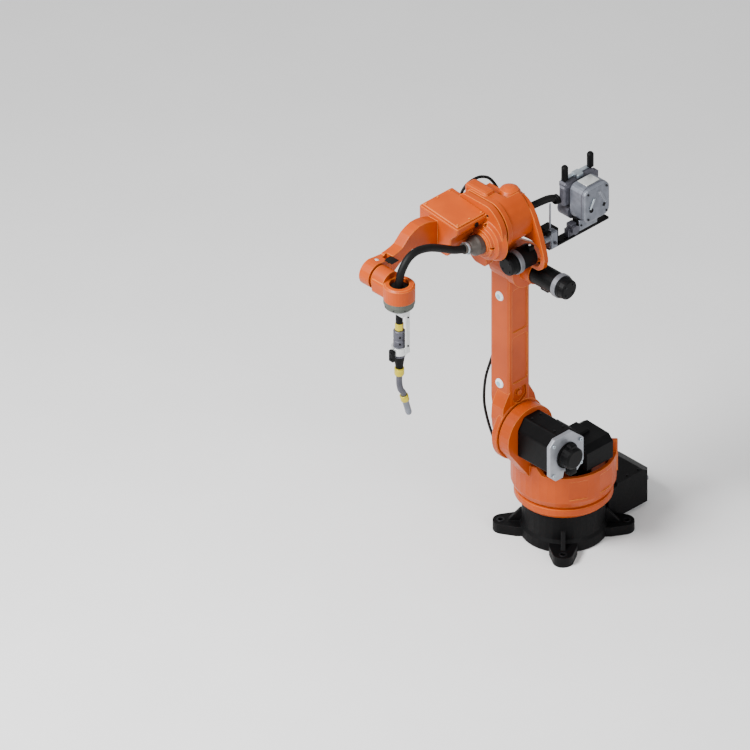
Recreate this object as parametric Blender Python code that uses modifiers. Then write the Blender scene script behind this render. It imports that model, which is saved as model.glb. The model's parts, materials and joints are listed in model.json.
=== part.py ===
"""Six-axis arc-welding robot arm with a one-sided hollow-wrist forearm, a torch and a wire feeder.

Metres, +Z up. The origin is where the first axis meets the floor. The arm points along +X, its
link stands on the -Y side and its motors face +Y. Every moving body rests under an empty on its axis.
"""
import math

import bmesh
import bpy
from mathutils import Matrix, Vector

GAP = 0.0003              # what touching pieces keep between them
RUN = 0.005               # running clearance between castings that turn past each other

# Base
BASE_R = 0.148            # pot radius
BASE_H = 0.150            # pot height
BASE_FLARE = 0.010        # how far the pot spreads at the floor
FOOT_REACH = 0.250        # first axis to a foot's tip
FOOT_W = 0.100            # foot width at the pot
FOOT_TIP_R = 0.037        # radius of a foot's rounded tip
FOOT_T = 0.038            # foot thickness
FOOT_BOLT_R = 0.009       # anchor bolt hole
FOOT_BOLT_AT = 0.222      # first axis to a bolt hole
BOX_BACK = 0.345          # first axis to the back of the connector box
BOX_W = 0.200
BOX_H = 0.142
BOX_LIFT = 0.018          # floor to the underside of the connector box
PANEL_T = 0.006           # socket panel on the connector box

# Turning column
COL_R = 0.187             # outside of the tub
COL_WALL = 0.014
COL_FLANGE_R = 0.176
COL_FLANGE_H = 0.040
RING_H = 0.004            # bearing ring between base and column
TUB_FLOOR = 0.262
RIM_LOW = 0.333           # rim on the motor side
RIM_HIGH = 0.362          # rim under the link
RIM_REAR = 0.312          # rim at the back of the tub
POST_H = 0.378            # top of the rib post on the rim

# Axes, in the plane of the arm
A2_X = 0.180
A2_Z = 0.490
LINK_L = 0.700            # second axis to third axis
A4_RISE = 0.205           # third axis up to fourth axis
A5_X = 0.810
A3_Z = A2_Z + LINK_L
A4_Z = A3_Z + A4_RISE
A5_Z = A4_Z

# Cheek of the column that holds the second axis
CHEEK_R = 0.110
CHEEK_T = 0.048
CHEEK_OUT = -0.030        # cheek face towards the link
CHEEK_IN = CHEEK_OUT + CHEEK_T

# Second-axis drive
DRIVE_W = 0.124           # length of the drive cover along X
DRIVE_D = 0.165           # depth of the drive cover along Y
DRIVE_H = 0.152
DRIVE_CHAMFER = 0.044
PLATE_W = 0.168           # silver motor plate
PLATE_H = 0.176
PLATE_T = 0.016
ENC_R = 0.045             # round encoder cover
ENC_L = 0.044

# First-axis motor in the tub
M1_W = 0.128
M1_D = 0.150
M1_TOP = 0.442
M1_X = -0.014             # centre of the motor along X
M1_Y = 0.094

# Link
LINK_W = 0.104            # along X
LINK_T = 0.099            # along Y
LINK_FACE = CHEEK_OUT - RUN
LINK_BACK = LINK_FACE - LINK_T
HUB_R = 0.118             # lower end, at the cheek
HUB_NOSE_R = 0.042        # lower end, at the outside
LINK_TOP_R = 0.074
BAR_FOOT = 0.130          # second axis up to where the link's outer face slopes in to the hub
PAD_H = 0.001             # how far the machined pads of the hubs stand proud
POCKET_D = 0.005          # depth of the panel in the link's side
CAP_R = 0.019             # white screw caps on the link's front
CAP_H = 0.006
CAP_LOW_Z = 0.682
CAP_HIGH_Z = 1.050

# Arm housing
ARM_BACK = 0.222          # rear plate, front face
ARM_PLATE_T = 0.020
SEAM_X = 0.345            # front face of the housing
ARM_TOP = 0.137           # fourth axis to the flat top
ARM_OUT = 0.152           # fourth axis to the outer side
ARM_NEAR = 0.076          # fourth axis to the motor side
ARM_LOW = 0.122           # fourth axis to the underside of the front flange
ARM_DECK = 0.101          # fourth axis to the deck under the dome
ARM_HUB_R = 0.078
COVER_L = 0.050           # back cover behind the rear plate
DOME_R = 0.040
DOME_X = 0.218
DOME_Y = -0.049

# Round motors of the third and fourth axis
MOTOR_R = 0.041
MOTOR_RING_R = 0.045
MOTOR_RING_L = 0.020
MOTOR_CAP_L = 0.034
M3_START = 0.052
M3_END = 0.214
M4_Y = 0.056
M4_DROP = 0.105           # fourth axis down to its motor
M4_Z = A4_Z - M4_DROP
M4_END = SEAM_X - 0.005

# Forearm
FORE_X = SEAM_X + RUN + 0.001
FORE_RIM_L = 0.024        # rim of the forearm at the seam
FORE_FLANGE_L = 0.066     # seam to the foot of the hose fitting
NECK_IN = -0.104
NECK_OUT = -0.150
NECK_TIP_IN = -0.105      # inner face of the neck's end eye
EYE_R = 0.050
NECK_H = 0.104            # height of the neck's arch
NECK_RISE = 0.110         # fourth axis to the crest of the neck
FBOX_L = 0.168            # length of the wrist-motor box
FBOX_OUT = -0.197
FBOX_IN = -0.004
FBOX_RISE = 0.121         # fourth axis to the box top at its outer side
FBOX_FALL = 0.10          # slope of the box top towards the motor side
FBOX_LOW = 0.032          # fourth axis down to the box's underside
LID_T = 0.006
FIT_R = 0.037             # hose fitting, at the forearm
FIT_TIP_R = 0.020
FIT_L = 0.078
FIT_TILT = 12             # degrees that the hose fitting points up
HOSE_R = 0.0145

# Wrist and tool
WRIST_R = 0.057
WRIST_TOP = 1.412
WRIST_LOW = 1.351
COLLAR_H = 0.034
MOUTH_R = 0.036
MOUTH_D = 0.030
WRIST_EYE_R = 0.0435
WRIST_EYE_OUT = NECK_TIP_IN + RUN
TOOL_DISC_R = 0.040
TOOL_DISC_T = 0.007
STUB_R = 0.013
NUT_R = 0.0165
BODY_R = 0.0215
CLASP_T = 0.0075          # band of the bracket round the torch body
NECK_R = 0.0110
NOZZLE_R = 0.0115

# Feeder on the arm
FEED_X = -0.068           # centre of the feeder's gear case
FEED_Z = 1.392
FEED_FACE = 0.100         # face towards +Y
FEED_W = 0.124
FEED_H = 0.138
FEED_D = 0.078
FEED_BEVEL = 0.020
RAIL_DROP = 0.073         # gear case down to the rail
RAIL_Z = FEED_Z - FEED_H / 2 - RAIL_DROP
RAIL_W = 0.040
RAIL_T = 0.010
RAIL_BACK = -0.176
LEVER_R = 0.0125
LEVER_L = 0.056
LEVER_STEM = 0.009        # roll block to a tension lever's grip
FEED_HOSE_R = 0.0135

ORANGE = (0.73, 0.17, 0.04, 1.0)
BLACK = (0.012, 0.012, 0.013, 1.0)
GREY = (0.26, 0.28, 0.31, 1.0)
SILVER = (0.50, 0.52, 0.55, 1.0)
BRASS = (0.72, 0.58, 0.18, 1.0)
PALE = (0.75, 0.79, 0.82, 1.0)


# Helpers.

def clear_scene():
    for obj in list(bpy.data.objects):
        bpy.data.objects.remove(obj, do_unlink=True)


clear_scene()
PARTS = bpy.data.collections.new("welding_robot_arm")
CUTTERS = bpy.data.collections.new("cutters")
bpy.context.scene.collection.children.link(PARTS)
bpy.context.scene.collection.children.link(CUTTERS)
CUTTERS.hide_render = True


def material(name, colour, roughness, metallic):
    mat = bpy.data.materials.new(name)
    mat.use_nodes = True
    shader = mat.node_tree.nodes["Principled BSDF"]
    shader.inputs["Base Color"].default_value = colour
    shader.inputs["Roughness"].default_value = roughness
    shader.inputs["Metallic"].default_value = metallic
    return mat


LOOKS = {
    "orange": material("orange paint", ORANGE, 0.38, 0.0),
    "black": material("black casting", BLACK, 0.5, 0.0),
    "grey": material("grey metal", GREY, 0.42, 0.8),
    "silver": material("bare aluminium", SILVER, 0.35, 0.9),
    "brass": material("brass", BRASS, 0.3, 1.0),
    "pale": material("pale plate", PALE, 0.45, 0.2),
    "rubber": material("black hose", BLACK, 0.6, 0.0),
}


def place(mesh, name, where=PARTS):
    obj = bpy.data.objects.new(name, mesh)
    where.objects.link(obj)
    return obj


def mesh_of(bm, name):
    bmesh.ops.recalc_face_normals(bm, faces=bm.faces)
    mesh = bpy.data.meshes.new(name)
    bm.to_mesh(mesh)
    bm.free()
    return mesh


def block(name, low, high, bevel=0.0, segments=1, edges=None):
    """A box between two corners. edges picks, by a test of an edge's two ends, which edges are bevelled."""
    bm = bmesh.new()
    bmesh.ops.create_cube(bm, size=1.0)
    for vert in bm.verts:
        for i in range(3):
            vert.co[i] = low[i] if vert.co[i] < 0 else high[i]
    if bevel:
        picked = [e for e in bm.edges if edges is None or edges(e.verts[0].co, e.verts[1].co)]
        bmesh.ops.bevel(bm, geom=picked, offset=bevel, offset_type="OFFSET", segments=segments,
                        profile=0.5, affect="EDGES", clamp_overlap=True, material=-1)
    return place(mesh_of(bm, name), name)


TURN = {
    "X": Matrix.Rotation(math.pi / 2, 4, "Y"),
    "Y": Matrix.Rotation(-math.pi / 2, 4, "X"),
    "Z": Matrix.Identity(4),
}


def rod(name, axis, centre, start, end, radius, end_radius=None, sides=32):
    """A round bar or a cone along an axis, between two places on it."""
    bm = bmesh.new()
    bmesh.ops.create_cone(bm, cap_ends=True, segments=sides, radius1=radius,
                          radius2=radius if end_radius is None else end_radius, depth=end - start)
    mid = list(centre)
    mid["XYZ".index(axis)] = (start + end) / 2
    bm.transform(Matrix.Translation(mid) @ TURN[axis])
    return place(mesh_of(bm, name), name)


def turned(name, profile, axis="Z", centre=(0.0, 0.0, 0.0), steps=28):
    """A profile of (radius, distance along the axis), from its high end to its low end, turned once."""
    bm = bmesh.new()
    verts = [bm.verts.new((r, 0.0, h)) for r, h in profile]
    for a, b in zip(verts, verts[1:]):
        bm.edges.new((a, b))
    if profile[0][0] > 0 or profile[-1][0] > 0:
        bm.edges.new((verts[-1], verts[0]))
    mesh = bpy.data.meshes.new(name)
    bm.to_mesh(mesh)
    bm.free()
    obj = place(mesh, name)
    screw = obj.modifiers.new("turn", "SCREW")
    screw.axis = "Z"
    screw.steps = steps
    screw.render_steps = steps
    screw.use_merge_vertices = True
    screw.merge_threshold = 0.0001
    settle(obj)
    obj.data.transform(Matrix.Translation(centre) @ TURN[axis])
    return obj


def settle(obj):
    """Turns an object's modifiers into its mesh, with every face pointing out."""
    graph = bpy.context.evaluated_depsgraph_get()
    graph.update()
    mesh = bpy.data.meshes.new_from_object(obj.evaluated_get(graph), depsgraph=graph)
    obj.modifiers.clear()
    bm = bmesh.new()
    bm.from_mesh(mesh)
    bmesh.ops.remove_doubles(bm, verts=bm.verts, dist=0.00001)
    bmesh.ops.recalc_face_normals(bm, faces=bm.faces)
    bm.to_mesh(mesh)
    bm.free()
    obj.data = mesh
    return obj


def from_curve(name, curve, frame):
    """A mesh of a curve object's solid, with its loose caps welded."""
    guide = bpy.data.objects.new(name + "_curve", curve)
    PARTS.objects.link(guide)
    guide.matrix_world = frame
    graph = bpy.context.evaluated_depsgraph_get()
    graph.update()
    mesh = bpy.data.meshes.new_from_object(guide.evaluated_get(graph), depsgraph=graph)
    mesh.transform(frame)
    bpy.data.objects.remove(guide, do_unlink=True)
    bm = bmesh.new()
    bm.from_mesh(mesh)
    bmesh.ops.remove_doubles(bm, verts=bm.verts, dist=0.00001)
    bmesh.ops.recalc_face_normals(bm, faces=bm.faces)
    bm.to_mesh(mesh)
    bm.free()
    mesh.name = name
    return place(mesh, name)


PLANES = {
    "XY": Matrix.Identity(4),
    "XZ": Matrix.Rotation(math.pi / 2, 4, "X"),
    "YZ": Matrix(((0, 0, 1, 0), (1, 0, 0, 0), (0, 1, 0, 0), (0, 0, 0, 1))),
}
NORMALS = {"XY": (0, 0, 1), "XZ": (0, -1, 0), "YZ": (1, 0, 0)}


def sheet(name, plane, outline, start, end, holes=()):
    """A flat outline in a plane, filled and given the thickness between two places across it."""
    curve = bpy.data.curves.new(name, "CURVE")
    curve.dimensions = "2D"
    curve.fill_mode = "BOTH"
    curve.extrude = abs(end - start) / 2
    for ring in (outline, *holes):
        spline = curve.splines.new("POLY")
        spline.points.add(len(ring) - 1)
        spline.use_cyclic_u = True
        for point, (u, v) in zip(spline.points, ring):
            point.co = (u, v, 0.0, 1.0)
    mid = (start + end) / 2
    axis = {"XY": (0, 0, mid), "XZ": (0, mid, 0), "YZ": (mid, 0, 0)}[plane]
    return from_curve(name, curve, Matrix.Translation(axis) @ PLANES[plane])


def tube(name, points, radius, roundness=3):
    """A hose or bent pipe along points."""
    curve = bpy.data.curves.new(name, "CURVE")
    curve.dimensions = "3D"
    curve.bevel_depth = radius
    curve.bevel_resolution = roundness
    curve.use_fill_caps = True
    spline = curve.splines.new("POLY")
    spline.points.add(len(points) - 1)
    for point, co in zip(spline.points, points):
        point.co = (*co, 1.0)
    return from_curve(name, curve, Matrix.Identity(4))


def arc(centre, radius, start, end, count):
    """Points on a circle in a plane, from one angle to another in degrees."""
    found = []
    for i in range(count + 1):
        angle = math.radians(start + (end - start) * i / count)
        found.append((centre[0] + radius * math.cos(angle), centre[1] + radius * math.sin(angle)))
    return found


def smooth(points, per_span=4, closed=False):
    """A Catmull-Rom curve through points of any dimension."""
    found = []
    count = len(points)
    spans = count if closed else count - 1
    for i in range(spans):
        if closed:
            p = [Vector(points[(i + k) % count]) for k in (-1, 0, 1, 2)]
        else:
            p = [Vector(points[min(max(i + k, 0), count - 1)]) for k in (-1, 0, 1, 2)]
        for j in range(per_span):
            t = j / per_span
            found.append(0.5 * (2 * p[1] + (p[2] - p[0]) * t
                                + (2 * p[0] - 5 * p[1] + 4 * p[2] - p[3]) * t * t
                                + (3 * p[1] - p[0] - 3 * p[2] + p[3]) * t ** 3))
    if not closed:
        found.append(Vector(points[-1]))
    return [tuple(v) for v in found]


def squared(points, start=None, end=None, run=0.006):
    """The same route with its first and last run made square to the faces that it meets."""
    found = [Vector(p) for p in points]
    if start:
        found[1] = found[0] + Vector(start) * run
    if end:
        found[-2] = found[-1] - Vector(end) * run
    return [tuple(v) for v in found]


def rounded(points, radius, steps=3):
    """A polygon with its corners rounded."""
    found = []
    count = len(points)
    for i in range(count):
        here = Vector(points[i])
        back = Vector(points[i - 1]) - here
        ahead = Vector(points[(i + 1) % count]) - here
        reach = min(radius, back.length * 0.45, ahead.length * 0.45)
        a = here + back.normalized() * reach
        b = here + ahead.normalized() * reach
        for k in range(steps + 1):
            t = k / steps
            found.append(tuple(a * (1 - t) ** 2 + here * 2 * t * (1 - t) + b * t * t))
    return found


def boolean(target, tool, operation):
    modifier = target.modifiers.new(operation.lower(), "BOOLEAN")
    modifier.operation = operation
    modifier.object = tool
    modifier.solver = "EXACT"
    settle(target)
    bpy.data.objects.remove(tool, do_unlink=True)
    return target


def join(target, *tools):
    for tool in tools:
        boolean(target, tool, "UNION")
    return target


def cut(target, *tools):
    for tool in tools:
        PARTS.objects.unlink(tool)
        CUTTERS.objects.link(tool)
        tool.hide_render = True
        tool.display_type = "WIRE"
        boolean(target, tool, "DIFFERENCE")
    return target


def soften(obj, width, segments=2, angle=40):
    """Rounds the sharp edges of a finished piece."""
    modifier = obj.modifiers.new("edges", "BEVEL")
    modifier.width = width
    modifier.segments = segments
    modifier.limit_method = "ANGLE"
    modifier.angle_limit = math.radians(angle)
    settle(obj)
    return obj


def spun(obj, angle, centre=(0.0, 0.0, 0.0), axis="Z"):
    """Turns a piece about an axis through a point."""
    turn = Matrix.Translation(centre) @ Matrix.Rotation(math.radians(angle), 4, axis)
    obj.data.transform(turn @ Matrix.Translation(Vector(centre) * -1))
    return obj


def finish(obj, look, body, smooth_angle=35):
    obj.data.materials.clear()
    obj.data.materials.append(LOOKS[look])
    obj.data.shade_smooth()
    obj.data.set_sharp_from_angle(angle=math.radians(smooth_angle))
    obj.parent = body
    obj.matrix_parent_inverse = body.matrix_world.inverted()
    return obj


def body(name, place_at, parent=None):
    """An empty on a joint's axis, which carries everything that turns with it."""
    empty = bpy.data.objects.new(name, None)
    PARTS.objects.link(empty)
    empty.parent = parent
    offset = parent.matrix_world.translation if parent else Vector()
    empty.location = Vector(place_at) - offset
    bpy.context.view_layer.update()
    return empty


# Base.

def base_casting(home):
    flare = BASE_R + BASE_FLARE
    pot = turned("base_casting", [
        (0.0, BASE_H), (BASE_R - 0.010, BASE_H), (BASE_R - 0.002, BASE_H - 0.004),
        (BASE_R, BASE_H - 0.014), (BASE_R, FOOT_T + 0.012), (flare - 0.003, FOOT_T),
        (flare, 0.006), (flare - 0.004, 0.0), (0.0, 0.0)], steps=36)
    for k in range(4):
        angle = 45 + 90 * k
        tip = FOOT_REACH - FOOT_TIP_R
        outline = [(BASE_R * 0.6, -FOOT_W / 2), (BASE_R + 0.02, -FOOT_W / 2)]
        outline += arc((tip, 0.0), FOOT_TIP_R, -70, 70, 8)
        outline += [(BASE_R + 0.02, FOOT_W / 2), (BASE_R * 0.6, FOOT_W / 2)]
        foot = sheet("foot", "XY", outline, 0.0, FOOT_T)
        join(pot, spun(foot, angle))
        rise = FOOT_T + 0.050
        rib = sheet("rib", "XZ", [(BASE_R * 0.7, FOOT_T - 0.004), (FOOT_BOLT_AT - 0.022, FOOT_T - 0.004),
                                  (BASE_R + 0.004, rise), (BASE_R * 0.7, rise)], -0.008, 0.008)
        join(pot, spun(rib, angle))
    for k in range(4):
        angle = 45 + 90 * k
        hole = rod("bolt_hole", "Z", (FOOT_BOLT_AT, 0, 0), -0.01, FOOT_T + 0.02, FOOT_BOLT_R, sides=16)
        cut(pot, spun(hole, angle))
    finish(pot, "black", home)


def connector_box(home):
    low = BOX_LIFT
    high = low + BOX_H
    near = -(BASE_R + BASE_FLARE) * 0.5
    half = BOX_W / 2
    outline = [(near, -half), (-BOX_BACK + 0.03, -half), (-BOX_BACK, -half + 0.03),
               (-BOX_BACK, half - 0.03), (-BOX_BACK + 0.03, half), (near, half)]
    box = sheet("connector_box", "XY", outline, low, high)
    slope = sheet("slope", "XZ", [(-BOX_BACK - 0.02, high - 0.040), (-BOX_BACK + 0.055, high + 0.002),
                                  (-BOX_BACK + 0.055, high + 0.03), (-BOX_BACK - 0.02, high + 0.03)],
                  -half - 0.02, half + 0.02)
    cut(box, slope)
    flare = BASE_R + BASE_FLARE + GAP
    cut(box, rod("pot_space", "Z", (0, 0, 0), -0.01, high + 0.05, flare, sides=96))
    for side in (-1, 1):
        angle = 180 + 45 * side
        clear = sheet("foot_space", "XY", [(0.05, -FOOT_W / 2 - GAP), (0.30, -FOOT_W / 2 - GAP),
                                           (0.30, FOOT_W / 2 + GAP), (0.05, FOOT_W / 2 + GAP)],
                      -0.01, FOOT_T + GAP)
        cut(box, spun(clear, angle))
    cut(box, rod("column_space", "Z", (0, 0, 0), BASE_H - 0.001, high + 0.05, COL_R + RUN, sides=96))
    finish(box, "black", home)
    panel = block("connector_panel", (-BOX_BACK - GAP - PANEL_T, -half + 0.036, low + 0.014),
                  (-BOX_BACK - GAP, half - 0.036, high - 0.046), 0.002)
    for k, (y, z) in enumerate(((-0.032, 0.058), (0.012, 0.058), (0.042, 0.072))):
        back = -BOX_BACK - GAP - PANEL_T
        socket = turned("socket", [(0.015, 0.012), (0.015, -0.003), (0.009, -0.003), (0.009, 0.012)],
                        "X", (back - 0.009, y, z), 20)
        join(panel, socket)
    finish(panel, "grey", home)


def bearing_ring(home):
    inner = BASE_R - 0.045
    outer = BASE_R - 0.012
    low = BASE_H + GAP
    ring = turned("bearing_ring", [(outer, low + RING_H - 2 * GAP), (outer, low), (inner, low),
                                   (inner, low + RING_H - 2 * GAP)], steps=32)
    finish(ring, "grey", home)


# Turning column.

def column_casting(home):
    low = BASE_H + RING_H
    shoulder = low + COL_FLANGE_H
    inside = COL_R - COL_WALL
    tub = turned("column_casting", [
        (0.0, TUB_FLOOR), (inside - 0.008, TUB_FLOOR), (inside, TUB_FLOOR + 0.008),
        (inside, RIM_HIGH), (COL_R - 0.003, RIM_HIGH), (COL_R, RIM_HIGH - 0.003),
        (COL_R, shoulder + 0.034), (COL_R - 0.010, shoulder + 0.012), (COL_FLANGE_R - 0.012, shoulder + 0.006),
        (COL_FLANGE_R - 0.012, shoulder + 0.001), (COL_FLANGE_R - 0.002, shoulder - 0.003),
        (COL_FLANGE_R, shoulder - 0.010), (COL_FLANGE_R, low + 0.014), (COL_FLANGE_R - 0.012, low),
        (0.0, low)], steps=40)
    lowered = sheet("rim_cut", "YZ", [(CHEEK_IN + 0.012, RIM_HIGH + 0.02), (CHEEK_IN + 0.050, RIM_LOW),
                                      (0.30, RIM_LOW), (0.30, RIM_HIGH + 0.02)], -0.30, 0.30)
    rear = block("rear_cut", (-0.30, -0.30, RIM_REAR), (-COL_R * 0.33, 0.075, RIM_HIGH + 0.02), 0.012, 2)
    cut(tub, lowered, rear)
    foot_front = COL_R - 0.006
    top = arc((A2_X, A2_Z), CHEEK_R, -22, 168, 16)
    outline = [(-COL_R * 0.55, TUB_FLOOR - 0.02), (foot_front, TUB_FLOOR - 0.02),
               (foot_front + 0.004, RIM_LOW - 0.02)]
    outline += top + [(A2_X - CHEEK_R - 0.018, A2_Z - 0.060), (-0.040, RIM_HIGH + 0.020),
                      (-COL_R * 0.55, RIM_REAR - 0.004)]
    cheek = sheet("cheek", "XZ", outline, CHEEK_OUT, CHEEK_IN)
    join(tub, cheek)
    web = sheet("web", "YZ", [(CHEEK_IN - 0.004, TUB_FLOOR - 0.01), (CHEEK_IN + 0.090, TUB_FLOOR - 0.01),
                              (CHEEK_IN + 0.075, RIM_LOW - 0.01), (CHEEK_IN + 0.020, A2_Z - 0.080),
                              (CHEEK_IN - 0.004, A2_Z - 0.072)], 0.100, 0.116)
    join(tub, web)
    post = block("post", (COL_R - 0.040, -0.011, TUB_FLOOR - 0.01), (COL_R + 0.004, 0.011, POST_H), 0.003)
    join(tub, spun(post, 135))
    for angle in (62, 100):
        panel = block("panel", (COL_R - 0.004, -0.038, shoulder + 0.046), (COL_R + 0.03, 0.038, RIM_LOW - 0.018))
        cut(tub, spun(panel, angle))
    finish(tub, "orange", home)


def column_drives(home):
    face = CHEEK_IN + GAP
    bottom = A2_Z - DRIVE_H * 0.42
    top = bottom + DRIVE_H
    front = A2_X + DRIVE_W * 0.51
    back = front - DRIVE_W
    chamfer = DRIVE_CHAMFER
    outline = [(back, bottom), (front, bottom), (front, top - chamfer), (front - chamfer * 0.7, top),
               (back + chamfer * 0.5, top), (back, top - chamfer * 0.5)]
    cover = sheet("a2_drive_cover", "XZ", rounded(outline, 0.006, 2), face, face + DRIVE_D)
    hump = block("hump", (back - 0.080, face, bottom + 0.030), (back + 0.01, face + DRIVE_D * 0.60, A2_Z + 0.004),
                 0.010, 1, lambda a, b: abs(a.y - b.y) > 0.01)
    finish(join(cover, hump), "black", home)
    start = face + DRIVE_D + GAP
    half_w = PLATE_W / 2
    half_h = PLATE_H / 2
    octagon = [(-half_w, -half_h + 0.030), (-half_w + 0.030, -half_h), (-0.018, -half_h),
               (-0.012, -half_h + 0.022), (0.012, -half_h + 0.022), (0.018, -half_h),
               (half_w - 0.030, -half_h), (half_w, -half_h + 0.030), (half_w, half_h - 0.024),
               (half_w - 0.026, half_h), (-half_w + 0.058, half_h), (-half_w, half_h - 0.052)]
    plate = sheet("a2_motor_plate", "XZ", [(A2_X + u, A2_Z + v) for u, v in octagon],
                  start, start + PLATE_T)
    finish(soften(plate, 0.002, 1), "silver", home)
    begin = start + PLATE_T + GAP
    encoder = turned("a2_encoder", [(0.0, ENC_L), (ENC_R - 0.012, ENC_L), (ENC_R - 0.004, ENC_L - 0.006),
                                    (ENC_R - 0.002, 0.012), (ENC_R, 0.008), (ENC_R, 0.0), (0.0, 0.0)],
                     "Y", (A2_X, begin, A2_Z), 24)
    plug = block("plug", (A2_X - 0.016, begin + 0.010, A2_Z + 0.010), (A2_X + 0.016, begin + ENC_L - 0.008,
                                                                      A2_Z + ENC_R + 0.010), 0.004)
    finish(join(encoder, plug), "black", home)
    gear = turned("a2_gear_ring", [(0.062, CHEEK_OUT - GAP), (0.062, LINK_FACE + 2 * GAP),
                                   (0.020, LINK_FACE + 2 * GAP), (0.020, CHEEK_OUT - GAP)][::-1],
                  "Y", (A2_X, 0.0, A2_Z), 32)
    finish(gear, "grey", home)
    half = M1_W / 2
    deep = M1_D / 2
    low = TUB_FLOOR + GAP
    motor = rod("a1_motor", "Z", (M1_X, M1_Y - 0.030, 0), low, M1_TOP - 0.08, half * 0.68, sides=32)
    outline = [(M1_Y - deep, M1_TOP - 0.088), (M1_Y + deep, M1_TOP - 0.096), (M1_Y + deep, M1_TOP - 0.026),
               (M1_Y + deep - 0.022, M1_TOP - 0.004), (M1_Y - deep + 0.02, M1_TOP), (M1_Y - deep, M1_TOP - 0.014)]
    hood = sheet("hood", "YZ", outline, M1_X - half, M1_X + half)
    socket = block("socket", (M1_X - 0.022, M1_Y - deep + 0.008, M1_TOP - 0.03),
                   (M1_X + 0.042, M1_Y - deep + 0.080, M1_TOP + 0.011), 0.006)
    finish(join(motor, hood, socket), "black", home)


# Link.

def link_casting(home):
    half = LINK_W / 2
    hub = turned("link_casting", [
        (0.0, LINK_FACE), (HUB_R - 0.003, LINK_FACE), (HUB_R, LINK_FACE - 0.003), (HUB_R, LINK_FACE - 0.022),
        (HUB_R - 0.010, LINK_FACE - 0.032), (HUB_NOSE_R + 0.024, LINK_BACK + 0.034),
        (HUB_NOSE_R + 0.008, LINK_BACK + 0.009), (HUB_NOSE_R, LINK_BACK), (0.0, LINK_BACK)],
        "Y", (A2_X, 0.0, A2_Z), 36)
    bar = block("bar", (A2_X - half, LINK_BACK, A2_Z), (A2_X + half, LINK_FACE - PAD_H, A3_Z), 0.012, 2,
                lambda a, b: abs(a.z - b.z) > 0.1)
    foot = sheet("foot", "YZ", [(LINK_BACK - 0.02, A2_Z + BAR_FOOT), (LINK_BACK, A2_Z + BAR_FOOT),
                                (LINK_FACE - 0.050, A2_Z - 0.02), (LINK_BACK - 0.02, A2_Z - 0.02)],
                 A2_X - HUB_R, A2_X + HUB_R)
    cut(bar, foot)
    flare_top = A2_Z + 0.178
    flare = [(-half + 0.012, flare_top), (-half - 0.004, flare_top - 0.03), (-half - 0.022, A2_Z + 0.115),
             (-HUB_R + 0.030, A2_Z + 0.062), (-HUB_R + 0.044, A2_Z + 0.010), (HUB_R - 0.044, A2_Z + 0.010),
             (HUB_R - 0.034, A2_Z + 0.062), (half + 0.028, A2_Z + 0.115), (half + 0.010, flare_top - 0.03),
             (half - 0.012, flare_top)]
    skirt = sheet("skirt", "XZ", [(A2_X + u, v) for u, v in flare], LINK_FACE - 0.060, LINK_FACE - 3 * PAD_H)
    head = turned("head", [(0.0, LINK_FACE), (LINK_TOP_R - 0.002, LINK_FACE), (LINK_TOP_R, LINK_FACE - 0.002),
                           (LINK_TOP_R, LINK_BACK + 0.016), (LINK_TOP_R - 0.014, LINK_BACK), (0.0, LINK_BACK)],
                  "Y", (A2_X, 0.0, A3_Z), 28)
    join(hub, bar, skirt, head)
    inset = 0.014
    for low, high in ((A2_Z + 0.200, A2_Z + 0.395), (A2_Z + 0.415, A3_Z - 0.105)):
        ring = [(A2_X - half + inset, low), (A2_X + half - inset, low), (A2_X + half - inset, high),
                (A2_X - half + inset, high)]
        cut(hub, sheet("pocket", "XZ", rounded(ring, 0.014, 3), LINK_FACE - POCKET_D, LINK_FACE + 0.02))
    throat = [(A2_X - 0.030, A2_Z + 0.175), (A2_X - 0.034, A2_Z + 0.128), (A2_X, A2_Z + 0.108),
              (A2_X + 0.034, A2_Z + 0.128), (A2_X + 0.030, A2_Z + 0.175)]
    cut(hub, sheet("throat", "XZ", rounded(throat, 0.010, 3), LINK_FACE - 2.4 * POCKET_D, LINK_FACE + 0.02))
    boss = rod("boss", "Y", (A2_X, 0, A2_Z + 0.150), LINK_FACE - 3 * POCKET_D, LINK_FACE - 0.002, 0.012, 0.010, 16)
    join(hub, boss)
    ridge = block("ridge", (A2_X - half - 0.006, LINK_BACK + 0.02, A3_Z - 0.310),
                  (A2_X - half + 0.01, LINK_FACE - 0.014, A3_Z - 0.275), 0.004)
    join(hub, ridge)
    finish(hub, "orange", home)


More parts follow.
